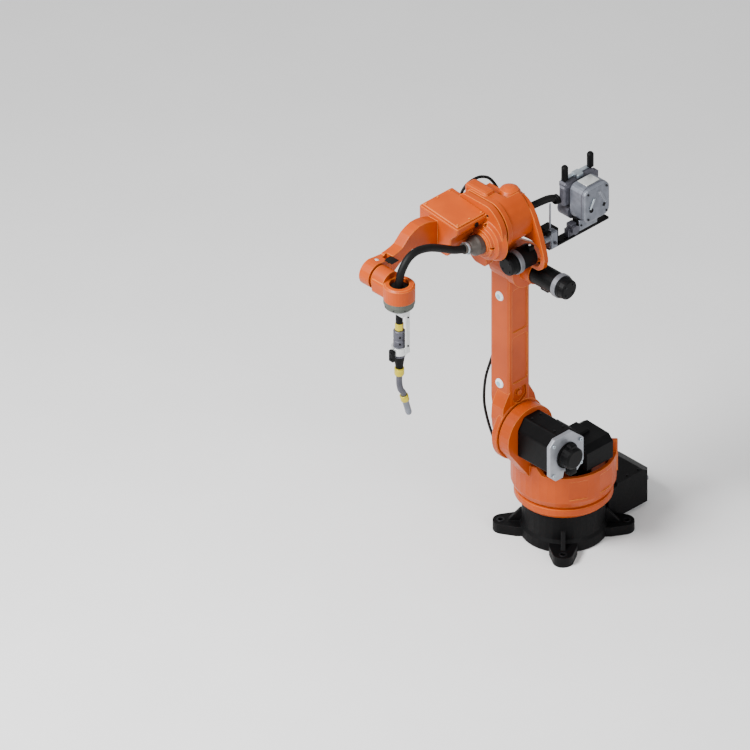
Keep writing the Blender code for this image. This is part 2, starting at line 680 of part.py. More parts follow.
def link_trim(home):
    half = LINK_W / 2
    front = A2_X + half + GAP
    middle = (LINK_FACE + LINK_BACK) / 2
    for name, z in (("link_cap_upper", CAP_HIGH_Z), ("link_cap_lower", CAP_LOW_Z)):
        cap = turned(name, [(0.0, CAP_H), (CAP_R * 0.55, CAP_H), (CAP_R * 0.9, CAP_H * 0.6),
                            (CAP_R, 0.0), (0.0, 0.0)], "X", (front, middle, z), 20)
        finish(cap, "pale", home)
    cover = turned("link_hub_cover", [(0.0, 0.010), (HUB_NOSE_R - 0.014, 0.010), (HUB_NOSE_R - 0.008, 0.006),
                                      (HUB_NOSE_R - 0.006, 0.0), (0.0, 0.0)],
                   "Y", (A2_X, 0.0, A2_Z), 28)
    cover.data.transform(Matrix.Translation((0, LINK_BACK - GAP, 0)) @ Matrix.Scale(-1, 4, (0, 1, 0)))
    cover.data.flip_normals()
    finish(cover, "orange", home)
    top = turned("link_head_cover", [(0.0, 0.010), (0.040, 0.010), (0.047, 0.006), (0.050, 0.0), (0.0, 0.0)],
                 "Y", (A2_X, 0.0, A3_Z), 28)
    top.data.transform(Matrix.Translation((0, LINK_BACK - GAP, 0)) @ Matrix.Scale(-1, 4, (0, 1, 0)))
    top.data.flip_normals()
    finish(top, "orange", home)
    gear = turned("a3_gear_ring", [(0.016, LINK_FACE + RUN - 2 * GAP), (0.050, LINK_FACE + RUN - 2 * GAP),
                                   (0.050, LINK_FACE + GAP), (0.016, LINK_FACE + GAP)],
                  "Y", (A2_X, 0.0, A3_Z), 32)
    finish(gear, "grey", home)


# Arm housing.

def arm_section(lip=0.0, low=0.0):
    """Section of the arm across the fourth axis as (y, z): flat on top, round on the motor side."""
    top = A4_Z + ARM_TOP - lip
    near = ARM_NEAR - lip
    out = ARM_OUT - lip
    foot = A4_Z - (low or ARM_LOW) + lip
    return [(-out, A4_Z + 0.030), (-out + 0.004, top - 0.026), (-out + 0.026, top), (near - 0.074, top),
            (near - 0.047, top - 0.013), (near - 0.022, top - 0.038), (near - 0.006, top - 0.068),
            (near, top - 0.098), (near - 0.006, A4_Z - 0.006), (near - 0.030, A4_Z - 0.036 + lip),
            (near - 0.062, A4_Z - 0.052 + lip), (near - 0.082, A4_Z - 0.084), (near - 0.084, foot),
            (near - 0.140, foot), (-out + 0.040, A4_Z - 0.084)]


def arm_housing(home):
    seam = SEAM_X
    shell = sheet("arm_housing", "YZ", rounded(arm_section(0.004, 0.094), 0.012, 3), ARM_BACK, seam - 0.004)
    rim = soften(sheet("rim", "YZ", rounded(arm_section(), 0.012, 3), seam - 0.020, seam), 0.003, 1)
    step = block("step", (ARM_BACK - 0.01, -0.3, A4_Z + ARM_DECK), (seam - 0.061, ARM_NEAR - 0.076, A4_Z + 0.3),
                 0.010, 2)
    cut(shell, step)
    crown = block("crown", (seam - 0.061, -ARM_OUT - 0.006, A4_Z + 0.040),
                  (seam - 0.009, ARM_NEAR - 0.126, A4_Z + ARM_TOP + 0.011), 0.012, 2)
    hub = rod("hub", "Y", (A2_X, 0, A3_Z), LINK_FACE + RUN, 0.006, ARM_HUB_R, sides=40)
    waist = sheet("waist", "XZ", [(A2_X - 0.060, A3_Z + 0.030), (A2_X + 0.068, A3_Z + 0.020),
                                  (seam - 0.030, A4_Z - 0.100), (seam - 0.030, A4_Z - 0.040),
                                  (ARM_BACK + 0.004, A4_Z - 0.064), (A2_X - 0.050, A3_Z + 0.072)],
                  LINK_FACE + RUN + 0.0005, 0.004)
    boss = rod("boss", "Y", (A2_X, 0, A3_Z), 0.004, M3_START - GAP, MOTOR_R + 0.005, sides=32)
    back_cover = block("back_cover", (ARM_BACK - COVER_L, DOME_Y - 0.050, A4_Z - 0.070),
                       (ARM_BACK + 0.01, -0.012, A4_Z + ARM_DECK), 0.016, 2)
    join(shell, rim, crown, waist, hub, boss, back_cover)
    motor_space = rod("motor_space", "X", (0, M4_Y, M4_Z), ARM_BACK - 0.02, SEAM_X + 0.05, MOTOR_RING_R + 0.002,
                      sides=32)
    cut(shell, motor_space)
    finish(shell, "orange", home)


def rear_plate(home):
    """The rear plate comes down the motor side and hooks round under the fourth-axis motor."""
    under = M4_Z - MOTOR_R
    outer = [(-0.006, A4_Z + 0.114), (0.010, A4_Z + 0.116), (0.036, A4_Z + 0.104), (0.058, A4_Z + 0.082),
             (0.078, A4_Z + 0.050), (0.100, A4_Z - 0.006), (M4_Y + 0.068, M4_Z + 0.028), (M4_Y + 0.074, M4_Z - 0.002),
             (M4_Y + 0.066, under + 0.006), (M4_Y + 0.042, under - 0.011), (M4_Y - 0.004, under - 0.012),
             (M4_Y - 0.006, under - 0.001), (M4_Y + 0.034, under + 0.002), (M4_Y + 0.052, under + 0.018),
             (M4_Y + 0.056, M4_Z + 0.018), (M4_Y + 0.044, M4_Z + 0.048), (0.064, A4_Z - 0.044),
             (0.012, A4_Z - 0.048), (-0.006, A4_Z - 0.050)]
    plate = sheet("arm_rear_plate", "YZ", rounded(outer, 0.008, 2), ARM_BACK - GAP - ARM_PLATE_T, ARM_BACK - GAP)
    finish(plate, "orange", home)


def dome(home):
    low = A4_Z + ARM_DECK + GAP
    top = low + DOME_R * 0.72
    cover = turned("arm_dome", [(0.0, top), (DOME_R * 0.45, top - 0.003), (DOME_R * 0.8, top - 0.010),
                                (DOME_R, top - 0.022), (DOME_R, low), (0.0, low)],
                   "Z", (DOME_X, DOME_Y, 0.0), 32)
    finish(cover, "orange", home)


def motor(name, axis, centre, start, end, home):
    """A round servo motor: body, grey ring and a fluted end cap."""
    ring_end = end - MOTOR_CAP_L
    ring_start = ring_end - MOTOR_RING_L
    shaft = list(centre)
    body_ = rod(name + "_motor", axis, shaft, start, ring_start - GAP, MOTOR_R, sides=32)
    finish(body_, "black", home)
    ring = rod(name + "_motor_ring", axis, shaft, ring_start, ring_end, MOTOR_RING_R, sides=32)
    finish(soften(ring, 0.0015, 1), "grey", home)
    i = "XYZ".index(axis)
    shaft[i] = ring_end + GAP
    r = MOTOR_R
    long = end - ring_end - GAP
    cap = turned(name + "_motor_cap", [(0.0, long), (r - 0.010, long), (r - 0.004, long - 0.004),
                                       (r - 0.002, long * 0.35), (r, long * 0.3), (r, 0.0), (0.0, 0.0)],
                 axis, tuple(shaft), 32)
    for k in range(6):
        flute = rod("flute", axis, (0, 0, 0), shaft[i] + long * 0.4, shaft[i] + long + 0.01, 0.0050, sides=6)
        turn = math.radians(60 * k)
        offset = [0.0, 0.0, 0.0]
        offset[(i + 1) % 3] = shaft[(i + 1) % 3] + (r + 0.001) * math.cos(turn)
        offset[(i + 2) % 3] = shaft[(i + 2) % 3] + (r + 0.001) * math.sin(turn)
        flute.data.transform(Matrix.Translation(offset))
        cut(cap, flute)
    finish(cap, "black", home)


def gear_ring_a4(home):
    ring = turned("a4_gear_ring", [(0.070, FORE_X - 2 * GAP), (0.070, SEAM_X + GAP), (0.030, SEAM_X + GAP),
                                   (0.030, FORE_X - 2 * GAP)], "X", (0.0, 0.0, A4_Z), 36)
    finish(ring, "grey", home)


# Feeder.

def feeder(home):
    back = FEED_FACE - FEED_D
    case = block("feeder_case", (FEED_X - FEED_W / 2, back, FEED_Z - FEED_H / 2),
                 (FEED_X + FEED_W / 2, FEED_FACE, FEED_Z + FEED_H / 2), FEED_BEVEL * 1.4, 4,
                 lambda a, b: abs(a.y - b.y) > 0.01)
    soften(case, 0.006, 2, 60)
    rib = block("rib", (FEED_X - 0.034, FEED_FACE - 0.002, FEED_Z - 0.030), (FEED_X - 0.024, FEED_FACE + 0.006,
                                                                            FEED_Z + 0.034), 0.002)
    join(case, spun(rib, 28, (FEED_X, FEED_FACE, FEED_Z), "Y"))
    finish(case, "silver", home)
    bar = block("feeder_rail", (RAIL_BACK, 0.010, RAIL_Z), (A2_X - 0.070, 0.010 + RAIL_W, RAIL_Z + RAIL_T), 0.002)
    leg = block("leg", (FEED_X - 0.050, back + 0.001, RAIL_Z + 0.002),
                (FEED_X + 0.050, 0.010 + RAIL_W - 0.001, FEED_Z - FEED_H / 2 - GAP), 0.003)
    arm_leg = block("arm_leg", (A2_X - 0.128, -0.026, RAIL_Z - 0.018), (A2_X - ARM_HUB_R - 0.002, 0.030,
                                                                     RAIL_Z + 0.060), 0.003)
    finish(join(bar, leg, arm_leg), "black", home)
    plate_in = back - GAP
    deck = block("roll_block", (FEED_X - 0.088, plate_in - 0.030, FEED_Z - 0.020),
                 (FEED_X + 0.086, plate_in, FEED_Z + 0.062), 0.006)
    arm_a = block("arm_a", (FEED_X - 0.074, plate_in - 0.044, FEED_Z + 0.046),
                  (FEED_X - 0.006, plate_in - 0.006, FEED_Z + 0.070), 0.006)
    arm_b = block("arm_b", (FEED_X + 0.006, plate_in - 0.044, FEED_Z + 0.046),
                  (FEED_X + 0.074, plate_in - 0.006, FEED_Z + 0.070), 0.006)
    rolls = []
    for x in (-0.036, 0.036):
        for z in (0.012, 0.048):
            rolls.append(rod("roll", "Y", (FEED_X + x, 0, FEED_Z + z - 0.004), plate_in - 0.042, plate_in - 0.026,
                             0.0165, sides=20))
    join(deck, arm_a, arm_b, *rolls)
    finish(deck, "grey", home)
    for name, x in (("tension_lever_rear", -0.064), ("tension_lever_front", 0.062)):
        low = FEED_Z + 0.070 + GAP
        grip = low + LEVER_STEM
        top = grip + LEVER_L
        knob = turned(name, [(0.0, top), (LEVER_R * 0.7, top), (LEVER_R, top - 0.006), (LEVER_R, grip),
                             (0.004, grip - 0.002), (0.004, low), (0.0, low)],
                      "Z", (FEED_X + x, plate_in - 0.022, 0.0), 20)
        finish(knob, "black", home)
    feed_motor = turned("feed_motor", [(0.0, plate_in - GAP), (0.030, plate_in - GAP), (0.030, plate_in - 0.050),
                                       (0.026, plate_in - 0.056), (0.0, plate_in - 0.056)],
                        "Y", (FEED_X + 0.040, 0.0, FEED_Z - 0.052), 28)
    finish(feed_motor, "black", home)
    valve_x = ARM_BACK - ARM_PLATE_T - 0.098
    valve = block("gas_valve", (valve_x - 0.017, 0.0325, RAIL_Z + RAIL_T + GAP), (valve_x + 0.017, 0.062,
                                                                                RAIL_Z + 0.080), 0.004)
    coil = rod("coil", "X", (0, 0.048, RAIL_Z + 0.056), valve_x + 0.010, valve_x + 0.044, 0.013, sides=20)
    pin = rod("pin", "Z", (valve_x + 0.004, 0.042, 0), RAIL_Z + 0.070, RAIL_Z + 0.192, 0.0035, sides=12)
    finish(join(valve, coil, pin), "silver", home)


def feeder_hose(home):
    hose_y = FEED_FACE - FEED_D - GAP - 0.034
    start = FEED_X + 0.086 + GAP
    end = ARM_BACK - COVER_L - GAP
    z = FEED_Z + 0.004
    points = smooth([(start, hose_y, z), (start + 0.035, hose_y - 0.010, z + 0.010),
                     (end - 0.050, hose_y - 0.028, z + 0.002), (end - 0.022, hose_y - 0.034, z - 0.002),
                     (end, hose_y - 0.034, z - 0.002)], 3)
    points = squared(points, (1, 0, 0), (1, 0, 0))
    finish(tube("feeder_hose", points, FEED_HOSE_R), "rubber", home)


# Forearm.

def box_top(y):
    """Height of the wrist-motor box at y: its top falls a little towards the motor side."""
    return A4_Z + FBOX_RISE - FBOX_FALL * (y - FBOX_OUT)


def forearm_casting(home):
    x0 = FORE_X
    x1 = x0 + FBOX_L
    rim = sheet("forearm_casting", "YZ", rounded(arm_section(), 0.012, 3), x0, x0 + FORE_RIM_L)
    soften(rim, 0.003, 1)
    foot = x0 + FORE_FLANGE_L
    bowl = turned("bowl", [
        (0.0, foot), (FIT_R + 0.006, foot), (FIT_R + 0.007, foot - 0.006), (FIT_R + 0.018, foot - 0.008),
        (FIT_R + 0.021, foot - 0.020), (FIT_R + 0.036, foot - 0.026), (FIT_R + 0.040, foot - 0.040),
        (FIT_R + 0.052, x0 + 0.010), (0.0, x0 + 0.010)], "X", (0.0, 0.0, A4_Z), 36)
    low = A4_Z - FBOX_LOW
    case = sheet("case", "YZ", [(FBOX_OUT, box_top(FBOX_OUT)), (FBOX_IN, box_top(FBOX_IN)),
                                (FBOX_IN - 0.004, A4_Z + 0.076), (FBOX_IN - 0.034, A4_Z + 0.046),
                                (FBOX_IN - 0.040, A4_Z - 0.012), (FBOX_IN - 0.052, low),
                                (FBOX_OUT + 0.030, low), (FBOX_OUT, low + 0.030)], x0 + 0.006, x1)
    soften(case, 0.006, 2, 20)
    crest = A4_Z + NECK_RISE
    top = [(x1 - 0.040, crest - 0.034), (x1 - 0.006, crest - 0.018), (x1 + 0.040, crest), (x1 + 0.090, crest + 0.004),
           (x1 + 0.138, crest - 0.016), (A5_X - 0.120, A5_Z + 0.063), (A5_X - 0.082, A5_Z + 0.052),
           (A5_X - 0.058, A5_Z + 0.049)]
    low_edge = [(A5_X - 0.058, A5_Z - 0.033), (A5_X - 0.088, A5_Z - 0.011), (A5_X - 0.130, A5_Z + 0.017),
                (x1 + 0.124, crest + 0.028 - NECK_H), (x1 + 0.070, crest + 0.014 - NECK_H),
                (x1 + 0.014, A4_Z - 0.002), (x1 - 0.020, low + 0.010)]
    neck = sheet("neck", "XZ", smooth(top, 2) + smooth(low_edge, 2), NECK_OUT, NECK_IN)
    soften(neck, 0.014, 3)
    reach = [(A5_X - 0.080, A5_Z + 0.041), (A5_X - 0.020, A5_Z + 0.047)]
    tip = reach + arc((A5_X, A5_Z), EYE_R, 90, -110, 14) + [(A5_X - 0.080, A5_Z - 0.003)]
    end = sheet("end", "XZ", tip, NECK_OUT - 0.002, NECK_TIP_IN)
    lug = rod("lug", "Y", (A5_X, 0, A5_Z), NECK_OUT - 0.010, NECK_TIP_IN - 0.01, EYE_R - 0.012, sides=28)
    alcove = rod("alcove", "X", (0, 0, A4_Z), foot, x1 + 0.1, FIT_R + 0.008, sides=32)
    cut(case, alcove)
    join(rim, bowl, case, neck, end, lug)
    port = rod("port", "Y", (x0 + 0.070, 0, A4_Z + 0.078), FBOX_IN - 0.020, FBOX_IN + 0.02, 0.009, sides=16)
    well = block("well", (A5_X - 0.070, NECK_IN - 0.030, A5_Z + 0.028), (A5_X - 0.046, NECK_IN + 0.01, A5_Z + 0.075))
    cut(rim, port, well)
    for y, z in ((0.006, 0.068), (0.000, 0.098), (0.052, 0.000)):
        cut(rim, rod("bolt_seat", "X", (0, y, A4_Z + z), x0 + FORE_RIM_L - 0.006, x0 + 0.08, 0.0065, sides=12))
    finish(rim, "orange", home)


def forearm_trim(home):
    lid = sheet("forearm_lid", "YZ", [
        (FBOX_OUT + 0.007, box_top(FBOX_OUT + 0.007) + GAP), (FBOX_IN - 0.007, box_top(FBOX_IN - 0.007) + GAP),
        (FBOX_IN - 0.007, box_top(FBOX_IN - 0.007) + GAP + LID_T),
        (FBOX_OUT + 0.007, box_top(FBOX_OUT + 0.007) + GAP + LID_T)],
        FORE_X + FORE_RIM_L + 0.002, FORE_X + FBOX_L - 0.007)
    soften(lid, 0.0022, 1)
    finish(lid, "orange", home)
    fitting = turned("hose_fitting", [
        (HOSE_R + 2 * GAP, FIT_L), (FIT_TIP_R, FIT_L), (FIT_TIP_R, FIT_L - 0.022),
        (FIT_TIP_R + 0.003, FIT_L - 0.026), (FIT_R - 0.006, 0.034), (FIT_R, 0.026),
        (FIT_R, -0.02), (HOSE_R + 2 * GAP, -0.02)], "X", (0.0, 0.0, 0.0), 24)
    fitting.data.transform(fitting_frame())
    foot = FORE_X + FORE_FLANGE_L + GAP
    cut(fitting, block("forearm_space", (foot - 0.2, -0.2, A4_Z - 0.2), (foot, 0.2, A4_Z + 0.2)))
    finish(fitting, "grey", home)


def fitting_frame():
    """Moves a shape made along X onto the fitting, which leaves the fourth axis pointing up a little."""
    foot = Matrix.Translation((FORE_X + FORE_FLANGE_L + GAP, 0.0, A4_Z))
    return foot @ Matrix.Rotation(math.radians(-FIT_TILT), 4, "Y")


def torch_hose(home):
    frame = fitting_frame()
    inner = frame @ Vector((FIT_L - 0.040, 0.0, 0.0))
    mouth = frame @ Vector((FIT_L, 0.0, 0.0))
    clear = frame @ Vector((FIT_L + 0.014, 0.0, 0.0))
    route = [tuple(inner), tuple(mouth), tuple(clear), (mouth.x + 0.052, 0.0, mouth.z + 0.019),
             (mouth.x + 0.100, 0.0, mouth.z + 0.047), (mouth.x + 0.166, 0.0, mouth.z + 0.081),
             (mouth.x + 0.226, 0.0, mouth.z + 0.096), (A5_X - 0.044, 0.0, A5_Z + 0.101),
             (A5_X - 0.011, 0.0, A5_Z + 0.062), (A5_X, 0.0, A5_Z + 0.020),
             (A5_X, 0.0, WRIST_TOP - MOUTH_D + 0.002)]
    points = squared(smooth(route, 3), tuple(mouth - inner), (0, 0, -1))
    finish(tube("torch_hose", points, HOSE_R), "rubber", home)


# Wrist and tool.

def wrist_casting(home):
    eye = rod("wrist_casting", "Y", (A5_X, 0, A5_Z), WRIST_EYE_OUT, -0.040, WRIST_EYE_R, sides=36)
    cup = turned("cup", [(0.0, WRIST_TOP), (WRIST_R - 0.006, WRIST_TOP), (WRIST_R, WRIST_TOP - 0.006),
                         (WRIST_R, WRIST_LOW), (0.0, WRIST_LOW)], "Z", (A5_X, 0.0, 0.0), 32)
    side = sheet("side", "XZ", rounded([(A5_X - 0.046, WRIST_LOW + 0.001), (A5_X + 0.046, WRIST_LOW + 0.001),
                                        (A5_X + 0.046, WRIST_TOP - 0.001), (A5_X - 0.046, WRIST_TOP - 0.001)],
                                       0.012, 2), WRIST_EYE_OUT + 0.008, -0.012)
    join(eye, side, cup)
    mouth = rod("mouth", "Z", (A5_X, 0, 0), WRIST_TOP - MOUTH_D, WRIST_TOP + 0.08, MOUTH_R, sides=32)
    finish(cut(eye, mouth), "orange", home)
    ring = turned("wrist_collar", [(0.0, WRIST_LOW - GAP), (WRIST_R - 0.0005, WRIST_LOW - GAP),
                                   (WRIST_R - 0.0005, WRIST_LOW - 0.016), (WRIST_R - 0.004, WRIST_LOW - 0.019),
                                   (WRIST_R - 0.004, WRIST_LOW - COLLAR_H + 0.004),
                                   (WRIST_R - 0.008, WRIST_LOW - COLLAR_H), (0.0, WRIST_LOW - COLLAR_H)],
                  "Z", (A5_X, 0.0, 0.0), 32)
    finish(ring, "grey", home)
    low = WRIST_TOP - MOUTH_D + GAP
    seal = turned("hose_seal", [(HOSE_R + 0.001, low + 0.018), (MOUTH_R - GAP - 0.004, low + 0.018),
                                (MOUTH_R - GAP - 0.0005, low + 0.010), (MOUTH_R - GAP - 0.0005, low),
                                (HOSE_R + 0.001, low)], "Z", (A5_X, 0.0, 0.0), 24)
    finish(seal, "rubber", home)


def tool(home):
    top = WRIST_LOW - COLLAR_H - 2 * GAP
    disc = turned("tool_flange", [(0.0, top), (TOOL_DISC_R, top), (TOOL_DISC_R, top - TOOL_DISC_T), (0.0, top
                                                                                               - TOOL_DISC_T)],
                  "Z", (A5_X, 0.0, 0.0), 32)
    finish(disc, "silver", home)
    plate_top = top - TOOL_DISC_T - GAP
    plate_low = plate_top - 0.020
    arm_y = BODY_R + CLASP_T - 0.001
    bracket = block("torch_bracket", (A5_X - 0.020, -0.018, plate_low), (A5_X + 0.018, arm_y + 0.006, plate_top), 0.001)
    drop = block("drop", (A5_X - 0.020, arm_y, 1.128), (A5_X, arm_y + 0.006, plate_top - 0.001), 0.001)
    clasp = turned("clasp", [(BODY_R + CLASP_T, 1.150), (BODY_R + CLASP_T, 1.122), (BODY_R + GAP, 1.122),
                             (BODY_R + GAP, 1.150)], "Z", (A5_X, 0.0, 0.0), 32)
    join(bracket, drop, clasp)
    finish(bracket, "pale", home)
    stub_top = plate_low - GAP
    nut_top = 1.246
    nut_low = 1.218
    stub = turned("torch_stub", [(0.0, stub_top), (STUB_R, stub_top), (STUB_R, nut_top + GAP), (0.0, nut_top + GAP)],
                  "Z", (A5_X, 0.0, 0.0), 24)
    finish(stub, "black", home)
    nut = rod("torch_nut_upper", "Z", (A5_X, 0, 0), nut_low, nut_top, NUT_R, sides=6)
    finish(soften(nut, 0.0015, 1), "brass", home)
    body_low = 1.108
    grip = turned("torch_body", [(0.0, nut_low - GAP), (BODY_R - 0.003, nut_low - GAP), (BODY_R, nut_low - 0.004),
                                 (BODY_R, 1.186), (BODY_R - 0.0015, 1.184), (BODY_R - 0.0015, 1.178),
                                 (BODY_R, 1.176), (BODY_R, body_low), (0.0, body_low)], "Z", (A5_X, 0.0, 0.0), 28)
    finish(grip, "grey", home)
    clamp = block("torch_clamp", (A5_X + BODY_R + CLASP_T + GAP, -0.011, 1.100),
                  (A5_X + BODY_R + 0.021, 0.011, 1.146), 0.002)
    finish(clamp, "black", home)
    taper_low = 1.058
    taper = turned("torch_taper", [(0.0, body_low - GAP), (BODY_R - 0.001, body_low - GAP), (0.014, taper_low + 0.008),
                                   (0.013, taper_low), (0.0, taper_low)], "Z", (A5_X, 0.0, 0.0), 28)
    finish(taper, "black", home)
    low_nut = turned("torch_nut_lower", [(0.0, taper_low - GAP), (0.017, taper_low - GAP), (0.018, taper_low - 0.004),
                                         (0.018, taper_low - 0.024), (0.016, taper_low - 0.030),
                                         (0.0, taper_low - 0.030)], "Z", (A5_X, 0.0, 0.0), 24)
    finish(low_nut, "brass", home)
    neck_top = taper_low - 0.030 - GAP
    end = Vector((A5_X - 0.024, 0.0, 0.925))
    aim = Vector((-0.28, 0.0, -0.96)).normalized()
    route = [(A5_X, 0.0, neck_top), (A5_X, 0.0, neck_top - 0.035), (A5_X - 0.007, 0.0, neck_top - 0.066),
             tuple(end - aim * 0.022), tuple(end)]
    points = squared(smooth(route, 3), (0, 0, -1), aim)
    finish(tube("torch_neck", points, NECK_R, 3), "grey", home)
    nozzle = turned("torch_nozzle", [(0.0, 0.0), (0.0135, 0.0), (0.0145, -0.002), (0.0145, -0.016), (NOZZLE_R + 0.001, -0.019),
                                     (NOZZLE_R, -0.030), (NOZZLE_R, -0.078), (0.0090, -0.086), (0.0065, -0.086),
                                     (0.0065, -0.010), (0.0, -0.010)], "Z", (0, 0, 0), 24)
    tilt = Vector((0, 0, -1)).rotation_difference(aim).to_matrix().to_4x4()
    nozzle.data.transform(Matrix.Translation(end + aim * 0.0006) @ tilt)
    finish(nozzle, "silver", home)


# Cables that cross an axis.

def crossing_cables(link, arm):
    y = LINK_BACK
    route = [(A2_X + 0.020, y - 0.0055, A2_Z + 0.300), (A2_X + 0.036, y - 0.012, A2_Z + 0.250),
             (A2_X + 0.056, y - 0.018, A2_Z + 0.180), (A2_X + 0.062, y - 0.018, A2_Z + 0.090),
             (A2_X + 0.052, y - 0.010, A2_Z + 0.008), (A2_X + 0.030, y - 0.008, A2_Z - 0.065),
             (A2_X + 0.006, y - 0.008, A2_Z - 0.130)]
    way = Vector((0.745, -0.667, 0.0)).normalized()
    wall = way * (COL_R + 0.0015) + Vector((0.0, 0.0, RIM_LOW - 0.018))
    points = squared(smooth(route + [tuple(wall + way * 0.012), tuple(wall)], 3), None, tuple(-way))
    finish(tube("link_cable", points, 0.005, 2), "rubber", link)
    side = -ARM_OUT - 0.010
    top = A4_Z + ARM_TOP
    start = DOME_Y - 0.050
    x = ARM_BACK - COVER_L * 0.5
    route = [(x, start - 0.0004, A4_Z + 0.045), (x - 0.004, start - 0.028, A4_Z + 0.046),
             (x - 0.018, start - 0.054, A4_Z + 0.058), (x - 0.004, side - 0.010, A4_Z + 0.090),
             (x + 0.028, side - 0.012, top - 0.024), (x + 0.060, side - 0.013, top - 0.015),
             (x + 0.100, side - 0.014, top - 0.019), (SEAM_X - 0.022, side - 0.016, top - 0.040),
             (SEAM_X - 0.008, side - 0.019, A4_Z + 0.062), (FORE_X + 0.0055, side - 0.018, A4_Z + 0.040)]
    points = squared(smooth(route, 3), (0, -1, 0), (1, 0, 0))
    finish(tube("arm_cable", points, 0.0055, 2), "rubber", arm)


def build():
    base = body("base", (0, 0, 0))
    column = body("column", (0, 0, BASE_H), base)
    link = body("link", (A2_X, 0, A2_Z), column)
    arm = body("arm", (A2_X, 0, A3_Z), link)
    fore = body("forearm", (SEAM_X, 0, A4_Z), arm)
    wrist = body("wrist", (A5_X, 0, A5_Z), fore)
    torch = body("tool", (A5_X, 0, WRIST_LOW - COLLAR_H), wrist)
    base_casting(base)
    connector_box(base)
    bearing_ring(base)
    column_casting(column)
    column_drives(column)
    link_casting(link)
    link_trim(link)
    arm_housing(arm)
    rear_plate(arm)
    dome(arm)
    motor("a3", "Y", (A2_X, 0, A3_Z), M3_START, M3_END, arm)
    motor("a4", "X", (0, M4_Y, M4_Z), ARM_BACK + GAP, M4_END, arm)
    gear_ring_a4(arm)
    feeder(arm)
    feeder_hose(arm)
    forearm_casting(fore)
    forearm_trim(fore)
    torch_hose(fore)
    wrist_casting(wrist)
    tool(torch)
    crossing_cables(link, arm)


build()
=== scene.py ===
"""Dresses the six-axis arc-welding robot arm: finishes for every casting, and the small hardware on it.

Metres, +Z up. The arm points along +X and its motors face +Y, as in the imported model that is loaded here.
"""
import json
import math

import bmesh
import bpy
from mathutils import Matrix, Vector

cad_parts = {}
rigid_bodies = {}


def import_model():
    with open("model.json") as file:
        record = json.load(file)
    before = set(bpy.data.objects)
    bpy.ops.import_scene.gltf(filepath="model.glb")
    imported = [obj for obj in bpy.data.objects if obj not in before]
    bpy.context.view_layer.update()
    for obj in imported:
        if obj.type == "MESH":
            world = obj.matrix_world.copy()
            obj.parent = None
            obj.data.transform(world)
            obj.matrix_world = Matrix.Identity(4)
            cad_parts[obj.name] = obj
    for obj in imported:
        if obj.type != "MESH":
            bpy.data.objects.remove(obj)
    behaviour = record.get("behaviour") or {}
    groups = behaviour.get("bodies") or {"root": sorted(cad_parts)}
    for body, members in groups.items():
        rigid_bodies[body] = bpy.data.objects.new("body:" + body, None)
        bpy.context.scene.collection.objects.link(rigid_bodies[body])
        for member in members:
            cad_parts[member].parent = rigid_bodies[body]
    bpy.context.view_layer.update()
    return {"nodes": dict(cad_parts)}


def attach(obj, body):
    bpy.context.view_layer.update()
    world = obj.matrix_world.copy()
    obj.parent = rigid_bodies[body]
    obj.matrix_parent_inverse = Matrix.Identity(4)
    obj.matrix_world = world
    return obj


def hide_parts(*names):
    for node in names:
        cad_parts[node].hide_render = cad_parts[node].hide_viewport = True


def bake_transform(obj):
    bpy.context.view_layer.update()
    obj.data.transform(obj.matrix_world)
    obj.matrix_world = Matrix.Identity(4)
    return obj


for thing in list(bpy.data.objects):
    bpy.data.objects.remove(thing)
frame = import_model()
nodes = frame["nodes"]

# Ways that hardware faces. The motors stand on the +Y side.
UP = (0, 0, 1)
DOWN = (0, 0, -1)
AHEAD = (1, 0, 0)
BACK = (-1, 0, 0)
MOTOR_SIDE = (0, 1, 0)
FAR_SIDE = (0, -1, 0)

# Places and sizes that the pieces share with the castings.
A2 = Vector((0.180, 0.0, 0.490))
A3 = Vector((0.180, 0.0, 1.190))
A4_Z = 1.395
A5_X = 0.810
A5_Z = 1.395
SEAM_X = 0.345
FORE_X = 0.351
LINK_BACK = -0.134
COVER_FACE = LINK_BACK - 0.0104
COLUMN_R = 0.187
RIM_LOW = 0.333
ARM_TOP = 0.137
ARM_OUT = 0.152
COVER_MIDDLE = Vector((0.197, -0.099, 1.395))
NECK_IN = -0.104
BOX_FACE = -0.004
EYE_R = 0.050
M4 = Vector((0.0, 0.056, 1.290))
FEED = Vector((-0.068, 0.100, 1.392))
ROLL_Y = -0.0203
WIRE_Y = -0.0123
WIRE_Z = 1.414
RAIL_TOP = 1.2603
FITTING_FOOT = Vector((FORE_X + 0.0663, 0.0, A4_Z))
FITTING_TILT = math.radians(12)
FITTING_AXIS = Vector((math.cos(FITTING_TILT), 0.0, math.sin(FITTING_TILT)))
HOSE_R = 0.0145
LINK_CABLE_R = 0.005
ARM_CABLE_R = 0.0055
FEEDER_HOSE_R = 0.0135

# The view: from the front corner on the motors' side, looking down at 34 degrees.
VIEW_AZIMUTH = 45.5
VIEW_ELEVATION = 33.6
FRAME_ACROSS = -0.663
FRAME_RISE = 0.540
FRAME_PIXELS = 750
PIXELS_PER_METRE = 284.4
CAMERA_AWAY = 14.0

# The studio's light, in watts for the lamps.
DOME_STRENGTH = 0.6
LAMP_SIZE = 2.0
LAMPS = (("key", (3.6, -0.6, 4.6), 520), ("side", (0.8, 4.2, 2.6), 70))
LAMPS_AIM = Vector((0.25, 0.0, 0.8))


# Camera.

